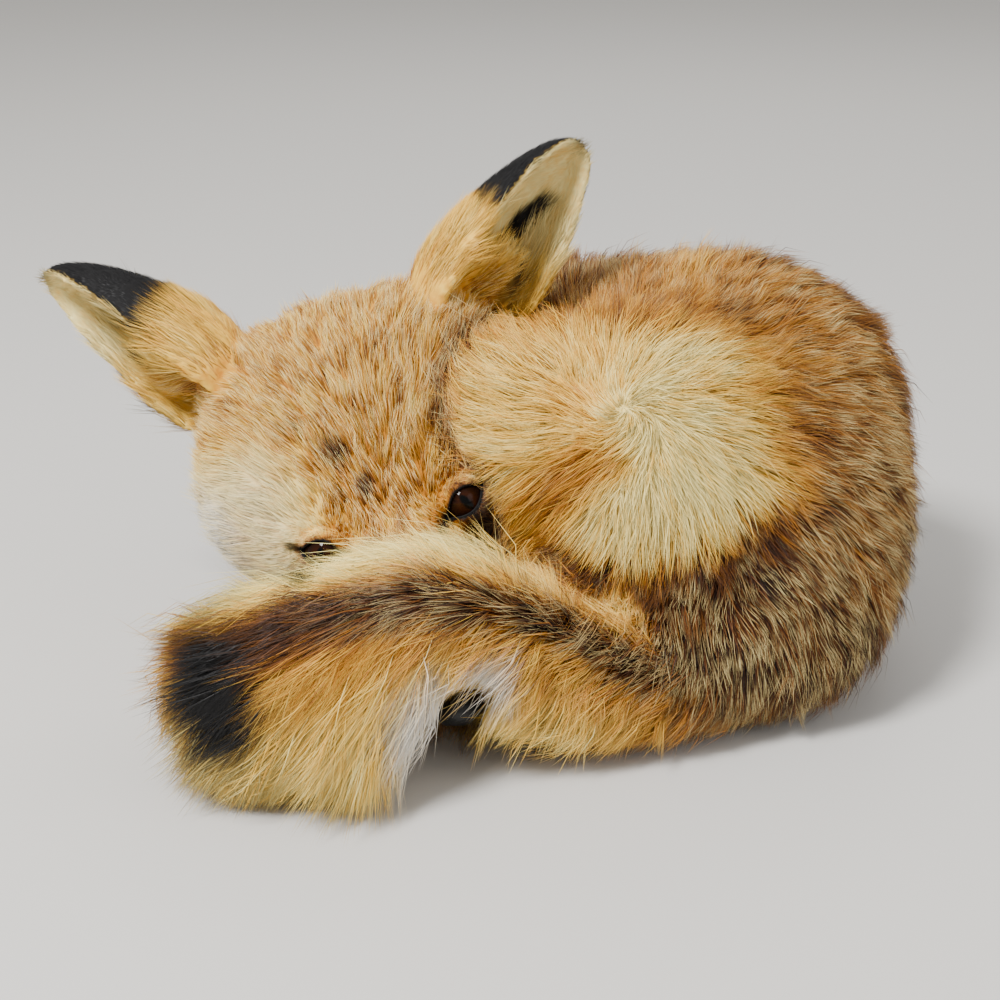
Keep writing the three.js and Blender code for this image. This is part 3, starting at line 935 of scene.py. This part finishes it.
def clearOf(path, crossing):  # leaves out hairs that would lie over the eyes or the nose
    keep = np.ones(len(path[0]), bool)
    for p in path[1:-1] + [mix(path[-2], path[-1], t) for t in (0.3, 0.5, 0.75, 1)]:
        for name in eyeFrames:
            place, outside = aroundEye(name, p)
            inFront = (place[:, 2] > lids["inFront"][0]) & (place[:, 2] < lids["inFront"][1])
            keep &= ~((outside < lids[name]["clear"]) & inFront)
        x, y, z = toHead(p).T
        keep &= ~((np.hypot(x / 9.5, (z - 2) / 7.0) < 0.95) & (y < 6) & (y > -30))
        off = p - nosePart["centre"]
        ahead = np.clip(off @ nosePart["way"], 0, nosePart["reach"])[:, None] * nosePart["way"]
        keep &= (gapTo(off, ahead) > nosePart["radius"]) | crossing
    return keep


# where each hair's colour is kept, on an unwrap of the skin: six parts, each seen from six sides
tile = {"edge": 0.04, "wide": 0.92}  # of each tile's side
seenFlat = np.array([[1, 2], [1, 2], [0, 2], [0, 2], [0, 1], [0, 1]])  # the two axes seen from each side


def bakeTiles():
    facing = relax(skinNormals, edgesOf(skinMesh), 25)[skinFaces].mean(axis=1)
    side = np.argmax(np.abs(facing), axis=1)
    side = 2 * side + (facing[np.arange(len(facing)), side] > 0)
    part = np.argmax(regionShare[skinFaces].mean(axis=1), axis=1)
    middles = skinPoints[skinFaces].mean(axis=1)
    part = np.where(part == 2, 3, part)  # the neck goes with the body, and its place to the second ear
    part = np.where((part == 1) & (toHead(middles)[:, 0] < 0), 2, part)
    low, size = np.zeros((6, 3)), np.ones(6)
    for k in np.unique(part):
        own = middles[part == k]
        low[k], size[k] = own.min(axis=0), np.ptp(own, axis=0).max()
    return part, side, low, size


def bakePlace(root, which):
    part, side, low, size = tiles
    part, side = part[which], side[which]
    flat = (root - low[part]) / size[part][:, None]
    spot = np.clip(np.take_along_axis(flat, seenFlat[side], axis=1), 0, 1)
    return (np.stack([part, side], axis=1) + tile["edge"] + tile["wide"] * spot) / 6


def hairMesh(name, path, hairs, pick):  # closed three-sided spikes
    path = [p[pick] for p in path]
    normal, half = hairs["normal"][pick], hairs["width"][pick][:, None] / 2
    count, bends = len(half), len(path) - 1
    rings = []
    for k, thick in zip(range(bends), coat["thins"]):
        run = unit(path[k + 1] - path[k])
        side = unit(np.cross(normal, run))
        up = coat["flat"] * np.cross(run, side)
        for angle in (90, 210, 330):
            a = math.radians(angle)
            rings.append(path[k] + half * thick * (math.cos(a) * side + math.sin(a) * up))
    rings.append(path[-1])
    each = len(rings)
    points = np.stack(rings, axis=1).reshape(-1, 3)
    quads = [(0, 1, 4, 3), (1, 2, 5, 4), (2, 0, 3, 5)] if bends == 2 else []
    last = each - 4
    triangles = [(last + a, last + b, last + 3) for a, b in ((0, 1), (1, 2), (2, 0))] + [(2, 1, 0)]
    loops = np.concatenate([np.array(f) for f in quads + triangles])
    sizes = np.array([4] * len(quads) + [3] * len(triangles))
    firsts = np.concatenate([[0], np.cumsum(sizes)[:-1]])
    corner = (np.arange(count)[:, None] * each + loops).ravel()
    starts = (np.arange(count)[:, None] * len(loops) + firsts).ravel()
    mesh = bpy.data.meshes.new(name)
    mesh.vertices.add(len(points))
    mesh.vertices.foreach_set("co", points.ravel())
    mesh.loops.add(len(corner))
    mesh.loops.foreach_set("vertex_index", corner)
    mesh.polygons.add(len(starts))
    mesh.polygons.foreach_set("loop_start", starts)
    mesh.shade_smooth()
    mesh.update(calc_edges=True)
    soft = unit(mix(unit(normalsOf(mesh)), np.repeat(normal, each, axis=0), coat["soft"]))
    mesh.normals_split_custom_set_from_vertices(soft)

    along = np.array([0, 0, 0, 0.5, 0.5, 0.5, 1.0] if bends == 2 else [0, 0, 0, 1.0])
    aside = np.array([0, -1, 1] * bends + [0])
    patch = np.stack([aside, along - 0.5], axis=1) * coat["patch"]
    spots = (hairs["place"][pick][:, None, :] + patch[None]).reshape(-1, 2)
    layer = mesh.uv_layers.new(name="OFBake")
    layer.data.foreach_set("uv", spots[corner].astype(np.float32).ravel())
    marks, tone, luck = (np.repeat(hairs[kind][pick], each, axis=0) for kind in ("marks", "tone", "luck"))
    addColours(mesh, "marks", *marks.T)
    addColours(mesh, "hair", np.tile(along, count), tone, luck)
    return mesh


# materials


def paint(red, green, blue, alpha=1):  # screen colour, 0 to 255, to the light it stands for
    def light(c):
        c /= 255
        return c / 12.92 if c < 0.04045 else ((c + 0.055) / 1.055) ** 2.4

    return (light(red), light(green), light(blue), alpha)


class Group:  # a shader node group under construction
    def __init__(self, name, inputs, outputs):
        self.tree = bpy.data.node_groups.new(name, "ShaderNodeTree")
        for way, sockets in (("INPUT", inputs), ("OUTPUT", outputs)):
            for label, kind, value in sockets:
                socket = self.tree.interface.new_socket(label, in_out=way, socket_type="NodeSocket" + kind)
                if value is not None:
                    socket.default_value = value
        self.given = self.add("NodeGroupInput").outputs
        self.result = self.add("NodeGroupOutput").inputs

    def add(self, kind, **values):
        node = self.tree.nodes.new(kind)
        for key, value in values.items():
            setattr(node, key, value)
        return node

    def feed(self, socket, value):
        if hasattr(value, "is_linked"):
            self.tree.links.new(value, socket)
        else:
            socket.default_value = value

    def blend(self, factor, first, second, way="MIX"):
        node = self.add("ShaderNodeMix", data_type="RGBA", blend_type=way)
        for socket, value in ((node.inputs[0], factor), (node.inputs[6], first), (node.inputs[7], second)):
            self.feed(socket, value)
        return node.outputs[2]

    def maths(self, way, *values):
        node = self.add("ShaderNodeMath", operation=way)
        for socket, value in zip(node.inputs, values):
            self.feed(socket, value)
        return node.outputs[0]

    def steep(self, value, low, high):  # eases from 0 to 1 between two values
        node = self.add("ShaderNodeMapRange", interpolation_type="SMOOTHSTEP")
        for label, number in (("Value", value), ("From Min", low), ("From Max", high)):
            self.feed(node.inputs[label], number)
        return node.outputs["Result"]

    def ramp(self, value, stops):
        node = self.add("ShaderNodeValToRGB")
        while len(node.color_ramp.elements) < len(stops):
            node.color_ramp.elements.new(0.5)
        for element, (place, colour) in zip(node.color_ramp.elements, stops):
            element.position = place
            element.color = colour
        self.feed(node.inputs[0], value)
        return node.outputs[0]

    def noise(self, scale, detail=3.0, vector=None):
        node = self.add("ShaderNodeTexNoise")
        self.feed(node.inputs["Scale"], scale)
        node.inputs["Detail"].default_value = detail
        if vector is not None:
            self.feed(node.inputs["Vector"], vector)
        return node.outputs["Fac"]

    def split(self, name):  # the parts of a colour kept on the mesh
        attribute = self.add("ShaderNodeAttribute", attribute_name=name)
        parts = self.add("ShaderNodeSeparateColor")
        self.feed(parts.inputs[0], attribute.outputs["Color"])
        return list(parts.outputs) + [attribute.outputs["Alpha"]]


coatColours = {
    "tones": [(0.0, (255, 236, 152)), (0.25, (255, 206, 84)), (0.5, (212, 140, 36)), (0.7, (138, 82, 20)),
              (0.85, (84, 46, 14)), (1.0, (40, 23, 12))],
    "black": (17, 16, 17),
    "white": (250, 246, 238),
    "lightTip": (255, 232, 160),
    "darkTip": (40, 27, 20),
    "rootShade": (0.32, 0.22, 0.14, 1),
    "roughness": (0.42, 0.2),  # of the smoothest hair, and how much rougher others get
}


def colourGroup():  # the fox's markings and the shading of each hair from root to tip
    group = Group(
        "foxColours",
        [("Root Shade", "Float", 0.6), ("Tone Spread", "Float", 0.3)],
        [("Color", "Color", None), ("Roughness", "Float", None)],
    )
    russet, black, white, tips = group.split("marks")
    along, tone, luck, _ = group.split("hair")
    maths, blend = group.maths, group.blend
    shift = maths("MULTIPLY", maths("SUBTRACT", tone, 0.5), group.given["Tone Spread"])
    stops = [(place, paint(*colour)) for place, colour in coatColours["tones"]]
    base = group.ramp(maths("ADD", russet, shift), stops)
    base = blend(white, base, paint(*coatColours["white"]))
    tipward = maths("MULTIPLY", maths("GREATER_THAN", luck, 0.5), group.steep(along, 0.4, 0.9))
    for colour, terms in (("lightTip", (tips, 0.5)), ("darkTip", (0.5, tips))):
        amount = maths("MULTIPLY", maths("MAXIMUM", maths("SUBTRACT", *terms), 0.0), 2.0)
        base = blend(maths("MULTIPLY", amount, tipward), base, paint(*coatColours[colour]))
    base = blend(black, base, paint(*coatColours["black"]))
    depth = maths("MULTIPLY", group.given["Root Shade"], maths("ADD", 0.25, maths("MULTIPLY", russet, 1.1)))
    rootward = maths("MULTIPLY", maths("SUBTRACT", 1.0, along), depth)
    base = blend(rootward, base, blend(1.0, base, coatColours["rootShade"], "MULTIPLY"))
    smoothest, spread = coatColours["roughness"]
    group.feed(group.result["Color"], base)
    group.feed(group.result["Roughness"], maths("ADD", smoothest, maths("MULTIPLY", luck, spread)))
    return group.tree


def grainGroup():  # fine uneven grain, as height and as a mask
    group = Group(
        "fineGrain",
        [("Scale", "Float", 300.0), ("Pebbles", "Float", 0.5)],
        [("Height", "Float", None), ("Mask", "Float", None)],
    )
    place = group.add("ShaderNodeTexCoord").outputs["Object"]
    cells = group.add("ShaderNodeTexVoronoi", feature="DISTANCE_TO_EDGE")
    group.feed(cells.inputs["Scale"], group.given["Scale"])
    group.feed(cells.inputs["Vector"], place)
    soft = group.noise(group.maths("MULTIPLY", group.given["Scale"], 0.6), 4.0, place)
    pebbles = group.maths("MINIMUM", cells.outputs["Distance"], 0.25)
    pebbles = group.maths("MULTIPLY", pebbles, group.given["Pebbles"])
    group.feed(group.result["Height"], group.maths("ADD", soft, group.maths("MULTIPLY", pebbles, 4.0)))
    group.feed(group.result["Mask"], soft)
    return group.tree


def hornGroup():  # whiskers and claws: streaks of a lighter colour
    group = Group(
        "foxHorn",
        [("Dark", "Color", None), ("Light", "Color", None), ("Streaks", "Float", 0.8)],
        [("Color", "Color", None)],
    )
    place = group.add("ShaderNodeTexCoord").outputs["Object"]
    amount = group.maths("MULTIPLY", group.noise(180.0, 3.0, place), group.given["Streaks"])
    group.feed(group.result["Color"], group.blend(amount, group.given["Dark"], group.given["Light"]))
    return group.tree


class Look:  # a material and short ways of wiring it
    def __init__(self, name, **constants):
        self.material = bpy.data.materials.new(name)
        self.material.use_nodes = True
        self.nodes, self.links = self.material.node_tree.nodes, self.material.node_tree.links
        self.shader = self.nodes["Principled BSDF"]
        for label, value in constants.items():
            self.shader.inputs[label.replace("_", " ")].default_value = value

    def place(self, tree, **values):
        node = self.nodes.new("ShaderNodeGroup")
        node.node_tree = tree
        for label, value in values.items():
            node.inputs[label.replace("_", " ")].default_value = value
        return node

    def link(self, output, label):
        self.links.new(output, self.shader.inputs[label])

    def bump(self, height, strength, distance):
        node = self.nodes.new("ShaderNodeBump")
        node.inputs["Strength"].default_value = strength
        node.inputs["Distance"].default_value = distance
        self.links.new(height, node.inputs["Height"])
        self.link(node.outputs["Normal"], "Normal")


foxColours, fineGrain, foxHorn = colourGroup(), grainGroup(), hornGroup()


def coatLook():
    look = Look("foxHair", Specular_IOR_Level=0.3)
    colours = look.place(foxColours, Root_Shade=1.0, Tone_Spread=0.42)
    look.link(colours.outputs["Color"], "Base Color")
    look.link(colours.outputs["Roughness"], "Roughness")
    return look.material


def skinLook():
    look = Look("foxSkin", Roughness=0.75, Specular_IOR_Level=0.2)
    look.link(look.place(foxColours, Root_Shade=0.6, Tone_Spread=0.3).outputs["Color"], "Base Color")
    look.bump(look.place(fineGrain, Scale=500.0, Pebbles=0.1).outputs["Height"], 0.5, 0.0006)
    return look.material


addColours(skinMesh, "marks", *markings(skinPoints, skinNormals, regionShare).T)
addColours(skinMesh, "hair", 0.3, 0.5 + 0.3 * waves(skinPoints, 0.004, 8), 0)
skin = showAs("skin", skinMesh, skinLook())
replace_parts(skin, *fleshNodes)

skinOpen = np.maximum(openness(), underChin(skinPoints)) * bareness()
tiles = bakeTiles()
foxHair = coatLook()
print("fox: places for hairs ready")
for region, spec in tresses.items():
    path, hairs = growHairs(region, spec)
    count = len(path[0])
    parts = math.ceil(count / coat["mostHairs"][spec["bends"]])
    for k in range(parts):
        pick = slice(k * count // parts, (k + 1) * count // parts)
        name = "coat_" + region + ("_%d" % (k + 1) if parts > 1 else "")
        showAs(name, hairMesh(name, path, hairs, pick), foxHair)
    print("fox: coat of the", region, "-", count, "hairs")


# eyes, in millimetres
eyeGlass = {
    "iris": 5.6, "pupil": (1.5, 3.6), "dome": 0.5, "rings": 48, "turns": 64,
    "colours": [(0.0, (14, 7, 4)), (0.55, (40, 17, 7)), (0.85, (18, 8, 5)), (1.0, (4, 3, 3))],
    "fibres": (48, 24, 10), "black": (0.002, 0.002, 0.002, 1),
}


def irisGroup():
    results = [("Color", "Color", None), ("Roughness", "Float", None)]
    group = Group("foxIris", [("Depth", "Float", 1.0)], results)
    off, slit, streak, _ = group.split("gaze")
    colour = group.ramp(off, [(place, paint(*colour)) for place, colour in eyeGlass["colours"]])
    fibres = group.noise(60.0, 4.0, group.add("ShaderNodeAttribute", attribute_name="gaze").outputs["Vector"])
    fibres = group.maths("MULTIPLY", fibres, group.given["Depth"])
    colour = group.blend(fibres, colour, paint(*eyeGlass["fibres"]))
    group.feed(group.result["Color"], group.blend(slit, colour, eyeGlass["black"]))
    group.feed(group.result["Roughness"], group.maths("ADD", 0.03, group.maths("MULTIPLY", streak, 0.04)))
    return group.tree


def buildEyes():
    look = Look("eyeGlass", Coat_Weight=0.12, Coat_Roughness=0.02, Specular_IOR_Level=0.05)
    iris = look.place(irisGroup(), Depth=0.5)
    look.link(iris.outputs["Color"], "Base Color")
    look.link(iris.outputs["Roughness"], "Roughness")
    ball, faces = solidOf(
        bmesh.ops.create_uvsphere, u_segments=eyeGlass["turns"], v_segments=eyeGlass["rings"], radius=1
    )
    wide, tall = eyeGlass["pupil"]
    for name, (centre, radius, axes) in eyeFrames.items():
        local = ball * radius
        off = np.hypot(local[:, 0], local[:, 1])
        front = local[:, 2] > 0
        local[:, 2] += np.where(front, eyeGlass["dome"] * smooth(eyeGlass["iris"] + 1, 0, off), 0)
        slit = smooth(1.15, 0.85, np.hypot(local[:, 0] / wide, local[:, 1] / tall)) * front
        ring = np.where(front, np.clip(off / eyeGlass["iris"], 0, 1), 1)
        mesh = meshFrom(name + "_glass", local / 1000 @ axes + centre, faces)
        if np.linalg.det(axes) < 0:  # one eye's axes are the mirror of the other's
            mesh.flip_normals()
        addColours(mesh, "gaze", ring, slit, 0.5)
        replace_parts(showAs(name + "_glass", mesh, look.material), name)


# nose pad, in millimetres
nosePad = {
    "voxel": 0.45,
    "nostril": {"out": 4.3, "up": 1.0, "soft": 2.6, "deep": 2.6},
    "slit": {"out": 7, "up": -0.6, "slope": 0.2, "soft": 0.5, "deep": 0.9},
    "groove": {"soft": 0.35, "deep": 0.7},
    "roughness": (0.3, 0.55),
}


def noseDents(place):  # how deep the nostrils and the groove between them are
    x, y, z = place.T
    side = np.abs(x)
    nostril, slit, groove = (nosePad[kind] for kind in ("nostril", "slit", "groove"))
    hole = np.exp(-((side - nostril["out"]) ** 2 + (z - nostril["up"]) ** 2) / nostril["soft"])
    cut = np.exp(-((z - slit["up"] - slit["slope"] * (side - slit["out"])) ** 2) / slit["soft"])
    cut *= smooth(3.8, 5, side)
    line = np.exp(-(x**2) / groove["soft"]) * smooth(1.5, -1, z)
    return smooth(2.5, 0, y) * (nostril["deep"] * hole + slit["deep"] * cut + groove["deep"] * line)


def noseLook():
    look = Look("noseLeather", Base_Color=paint(5, 5, 6), Specular_IOR_Level=0.3)
    look.shader.inputs["Coat Weight"].default_value = 0.3
    look.shader.inputs["Coat Roughness"].default_value = 0.16
    grain = look.place(fineGrain, Scale=1100.0, Pebbles=0.8)
    rough = look.nodes.new("ShaderNodeMapRange")
    rough.inputs["To Min"].default_value, rough.inputs["To Max"].default_value = nosePad["roughness"]
    look.links.new(grain.outputs["Mask"], rough.inputs["Value"])
    look.link(rough.outputs["Result"], "Roughness")
    look.bump(grain.outputs["Height"], 0.35, 0.0003)
    return look.material


def buildNose():
    mesh = remeshed(*arraysOf(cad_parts["nose"].data), nosePad["voxel"] / 1000)
    points, _ = arraysOf(mesh)
    edges = edgesOf(mesh)
    normals = unit(relax(normalsOf(mesh), edges, 6))
    points = steady(relax(points, edges, 12), edges, 4)
    movePoints(mesh, points - normals * (noseDents(toHead(points)) / 1000)[:, None])
    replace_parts(showAs("nose_pad", mesh, noseLook()), "nose")


buildEyes()
buildNose()
print("fox: eyes and nose done")


# whiskers and claws, in millimetres
whiskers = {
    "rows": 3, "each": 4, "length": (22, 34), "width": 0.36, "thins": 0.85, "bend": 0.25,
    "sides": 4, "steps": 6, "from": (17, 15, 3), "apart": (6, 5),
    "colours": ((20, 18, 18), (58, 50, 46)), "roughness": 0.4,
}
claws = {
    "toes": 4, "apart": 5.0, "length": 7.5, "width": 2.6, "thins": 0.9, "bend": 0.75, "sides": 8, "steps": 5,
    "high": 7.5, "inside": 5, "rounded": 0.072, "fanned": 0.06,  # the outer toes start back and turn out
    "colours": ((40, 32, 28), (96, 82, 70)), "roughness": 0.35,
}


def tube(points, widths, sides):  # a closed round horn through points
    run = unit(np.gradient(points, axis=0))
    side = unit(np.cross(run, np.array([0.1, 0.2, 1.0])))
    up = np.cross(side, run)
    rings = [
        points[:-1] + (widths[:-1] / 2)[:, None] * (math.cos(a) * side[:-1] + math.sin(a) * up[:-1])
        for a in np.arange(sides) * 2 * np.pi / sides
    ]
    verts = np.vstack([np.stack(rings, axis=1).reshape(-1, 3), points[-1:]])
    rows = len(points) - 1
    faces = [tuple(range(sides))]
    for k in range(sides):
        n = (k + 1) % sides
        for a in np.arange(rows - 1) * sides:
            faces.append((a + n, a + k, a + sides + k, a + sides + n))
        last = (rows - 1) * sides
        faces.append((last + n, last + k, len(verts) - 1))
    return verts, faces


def showHorns(name, shapes, piece):
    points, faces, count = [], [], 0
    for ownPoints, ownFaces in shapes:
        points.append(ownPoints)
        faces += [[int(count + i) for i in face] for face in ownFaces]
        count += len(ownPoints)
    dark, light = piece["colours"]
    look = Look(name + "Horn", Roughness=piece["roughness"])
    streaks = look.place(foxHorn, Dark=paint(*dark), Light=paint(*light))
    look.link(streaks.outputs["Color"], "Base Color")
    showAs(name, meshFrom(name, np.vstack(points), faces), look.material)


def buildWhiskers():
    shapes = []
    aside, back, up = whiskers["from"]
    steps = np.linspace(-0.02, 1, whiskers["steps"])[:, None]
    widths = whiskers["width"] / 1000 * (1 - whiskers["thins"] * steps[:, 0])
    fall = np.array([0, 0.1, -1.0]) * whiskers["bend"]
    for side in (-1, 1):
        for row in range(whiskers["rows"]):
            for k in range(whiskers["each"]):
                place = (side * aside, back + whiskers["apart"][0] * k, up - whiskers["apart"][1] * row)
                start, _ = onSkin(fromHead([place]))
                length = chance.uniform(*whiskers["length"]) / 1000
                way = np.array([side * chance.uniform(0.8, 1.1), 0.35 + 0.12 * k, 0.55 - 0.35 * row])
                way = unit(way + chance.normal(size=3) * 0.08) @ headTurn
                points = start[0] + length * (steps * way + steps**2 * fall)
                points[:, 2] = np.maximum(points[:, 2], 0.001)
                shapes.append(tube(points, widths, whiskers["sides"]))
    showHorns("whiskers", shapes, whiskers)


def buildClaws():
    shapes = []
    steps = np.linspace(0, 1, claws["steps"])[:, None]
    widths = claws["width"] / 1000 * (1 - claws["thins"] * steps[:, 0] ** 1.5)
    for name in ("fore_leg_left", "fore_leg_right"):
        points, _ = arraysOf(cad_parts[name].data)
        toe = points[:, 1].min()
        paw = points[points[:, 1] < toe + 0.007]
        x = (paw[:, 0].min() + paw[:, 0].max()) / 2
        for k in range(claws["toes"]):
            aside = (k - 1.5) * claws["apart"]
            back = claws["inside"] + claws["rounded"] * aside**2
            start = np.array([x, toe, 0]) + np.array([aside, back, claws["high"]]) / 1000
            way = unit(np.array([claws["fanned"] * aside, -1.0, 0.0]))
            curve = steps * way + steps**2 * np.array([0, 0.1, -claws["bend"]])
            curve = start + claws["length"] / 1000 * curve
            curve[:, 2] = np.maximum(curve[:, 2], 0.0008)
            shapes.append(tube(curve, widths, claws["sides"]))
    showHorns("claws", shapes, claws)


buildWhiskers()
buildClaws()
print("fox: whiskers and claws done")


# floor, light and camera, in metres, watts and degrees
studio = {
    "floor": (204, 201, 196), "floorSize": 30, "world": (1.0, 0.99, 0.97, 1), "worldStrength": 0.62,
    "aim": (0, 0, 0.08),
    "lamps": {  # place, size and power
        "key": ((-0.7, -0.8, 1.5), 0.45, 58),
        "fill": ((1.2, -0.8, 0.9), 1.2, 7),
        "rim": ((0.3, 1.4, 1.3), 0.9, 7),
    },
}
view = {"place": (0.0035, -0.712, 0.340), "tilt": 69, "lens": 69.3, "sensor": 36}


def buildStudio():
    size = studio["floorSize"]
    corners = [(-size, -size, 0), (size, -size, 0), (size, size, 0), (-size, size, 0)]
    floor = linked("floor", meshFrom("floor", corners, [(0, 1, 2, 3)]))
    paper = Look("floorPaint", Base_Color=paint(*studio["floor"]), Roughness=0.7)
    floor.data.materials.append(paper.material)

    world = bpy.data.worlds.new("studio")
    world.use_nodes = True
    background = world.node_tree.nodes["Background"]
    background.inputs["Color"].default_value = studio["world"]
    background.inputs["Strength"].default_value = studio["worldStrength"]
    bpy.context.scene.world = world

    for name, (place, across, power) in studio["lamps"].items():
        light = bpy.data.lights.new(name, "AREA")
        light.size = across
        light.energy = power
        lamp = linked(name, light)
        lamp.location = place
        lamp.rotation_euler = (Vector(studio["aim"]) - Vector(place)).to_track_quat("-Z", "Y").to_euler()

    camera = linked("camera", bpy.data.cameras.new("camera"))
    camera.data.sensor_width = view["sensor"]
    camera.data.lens = view["lens"]
    camera.location = view["place"]
    camera.rotation_euler = (math.radians(view["tilt"]), 0, 0)
    bpy.context.scene.camera = camera


buildStudio()
print("fox: ready")
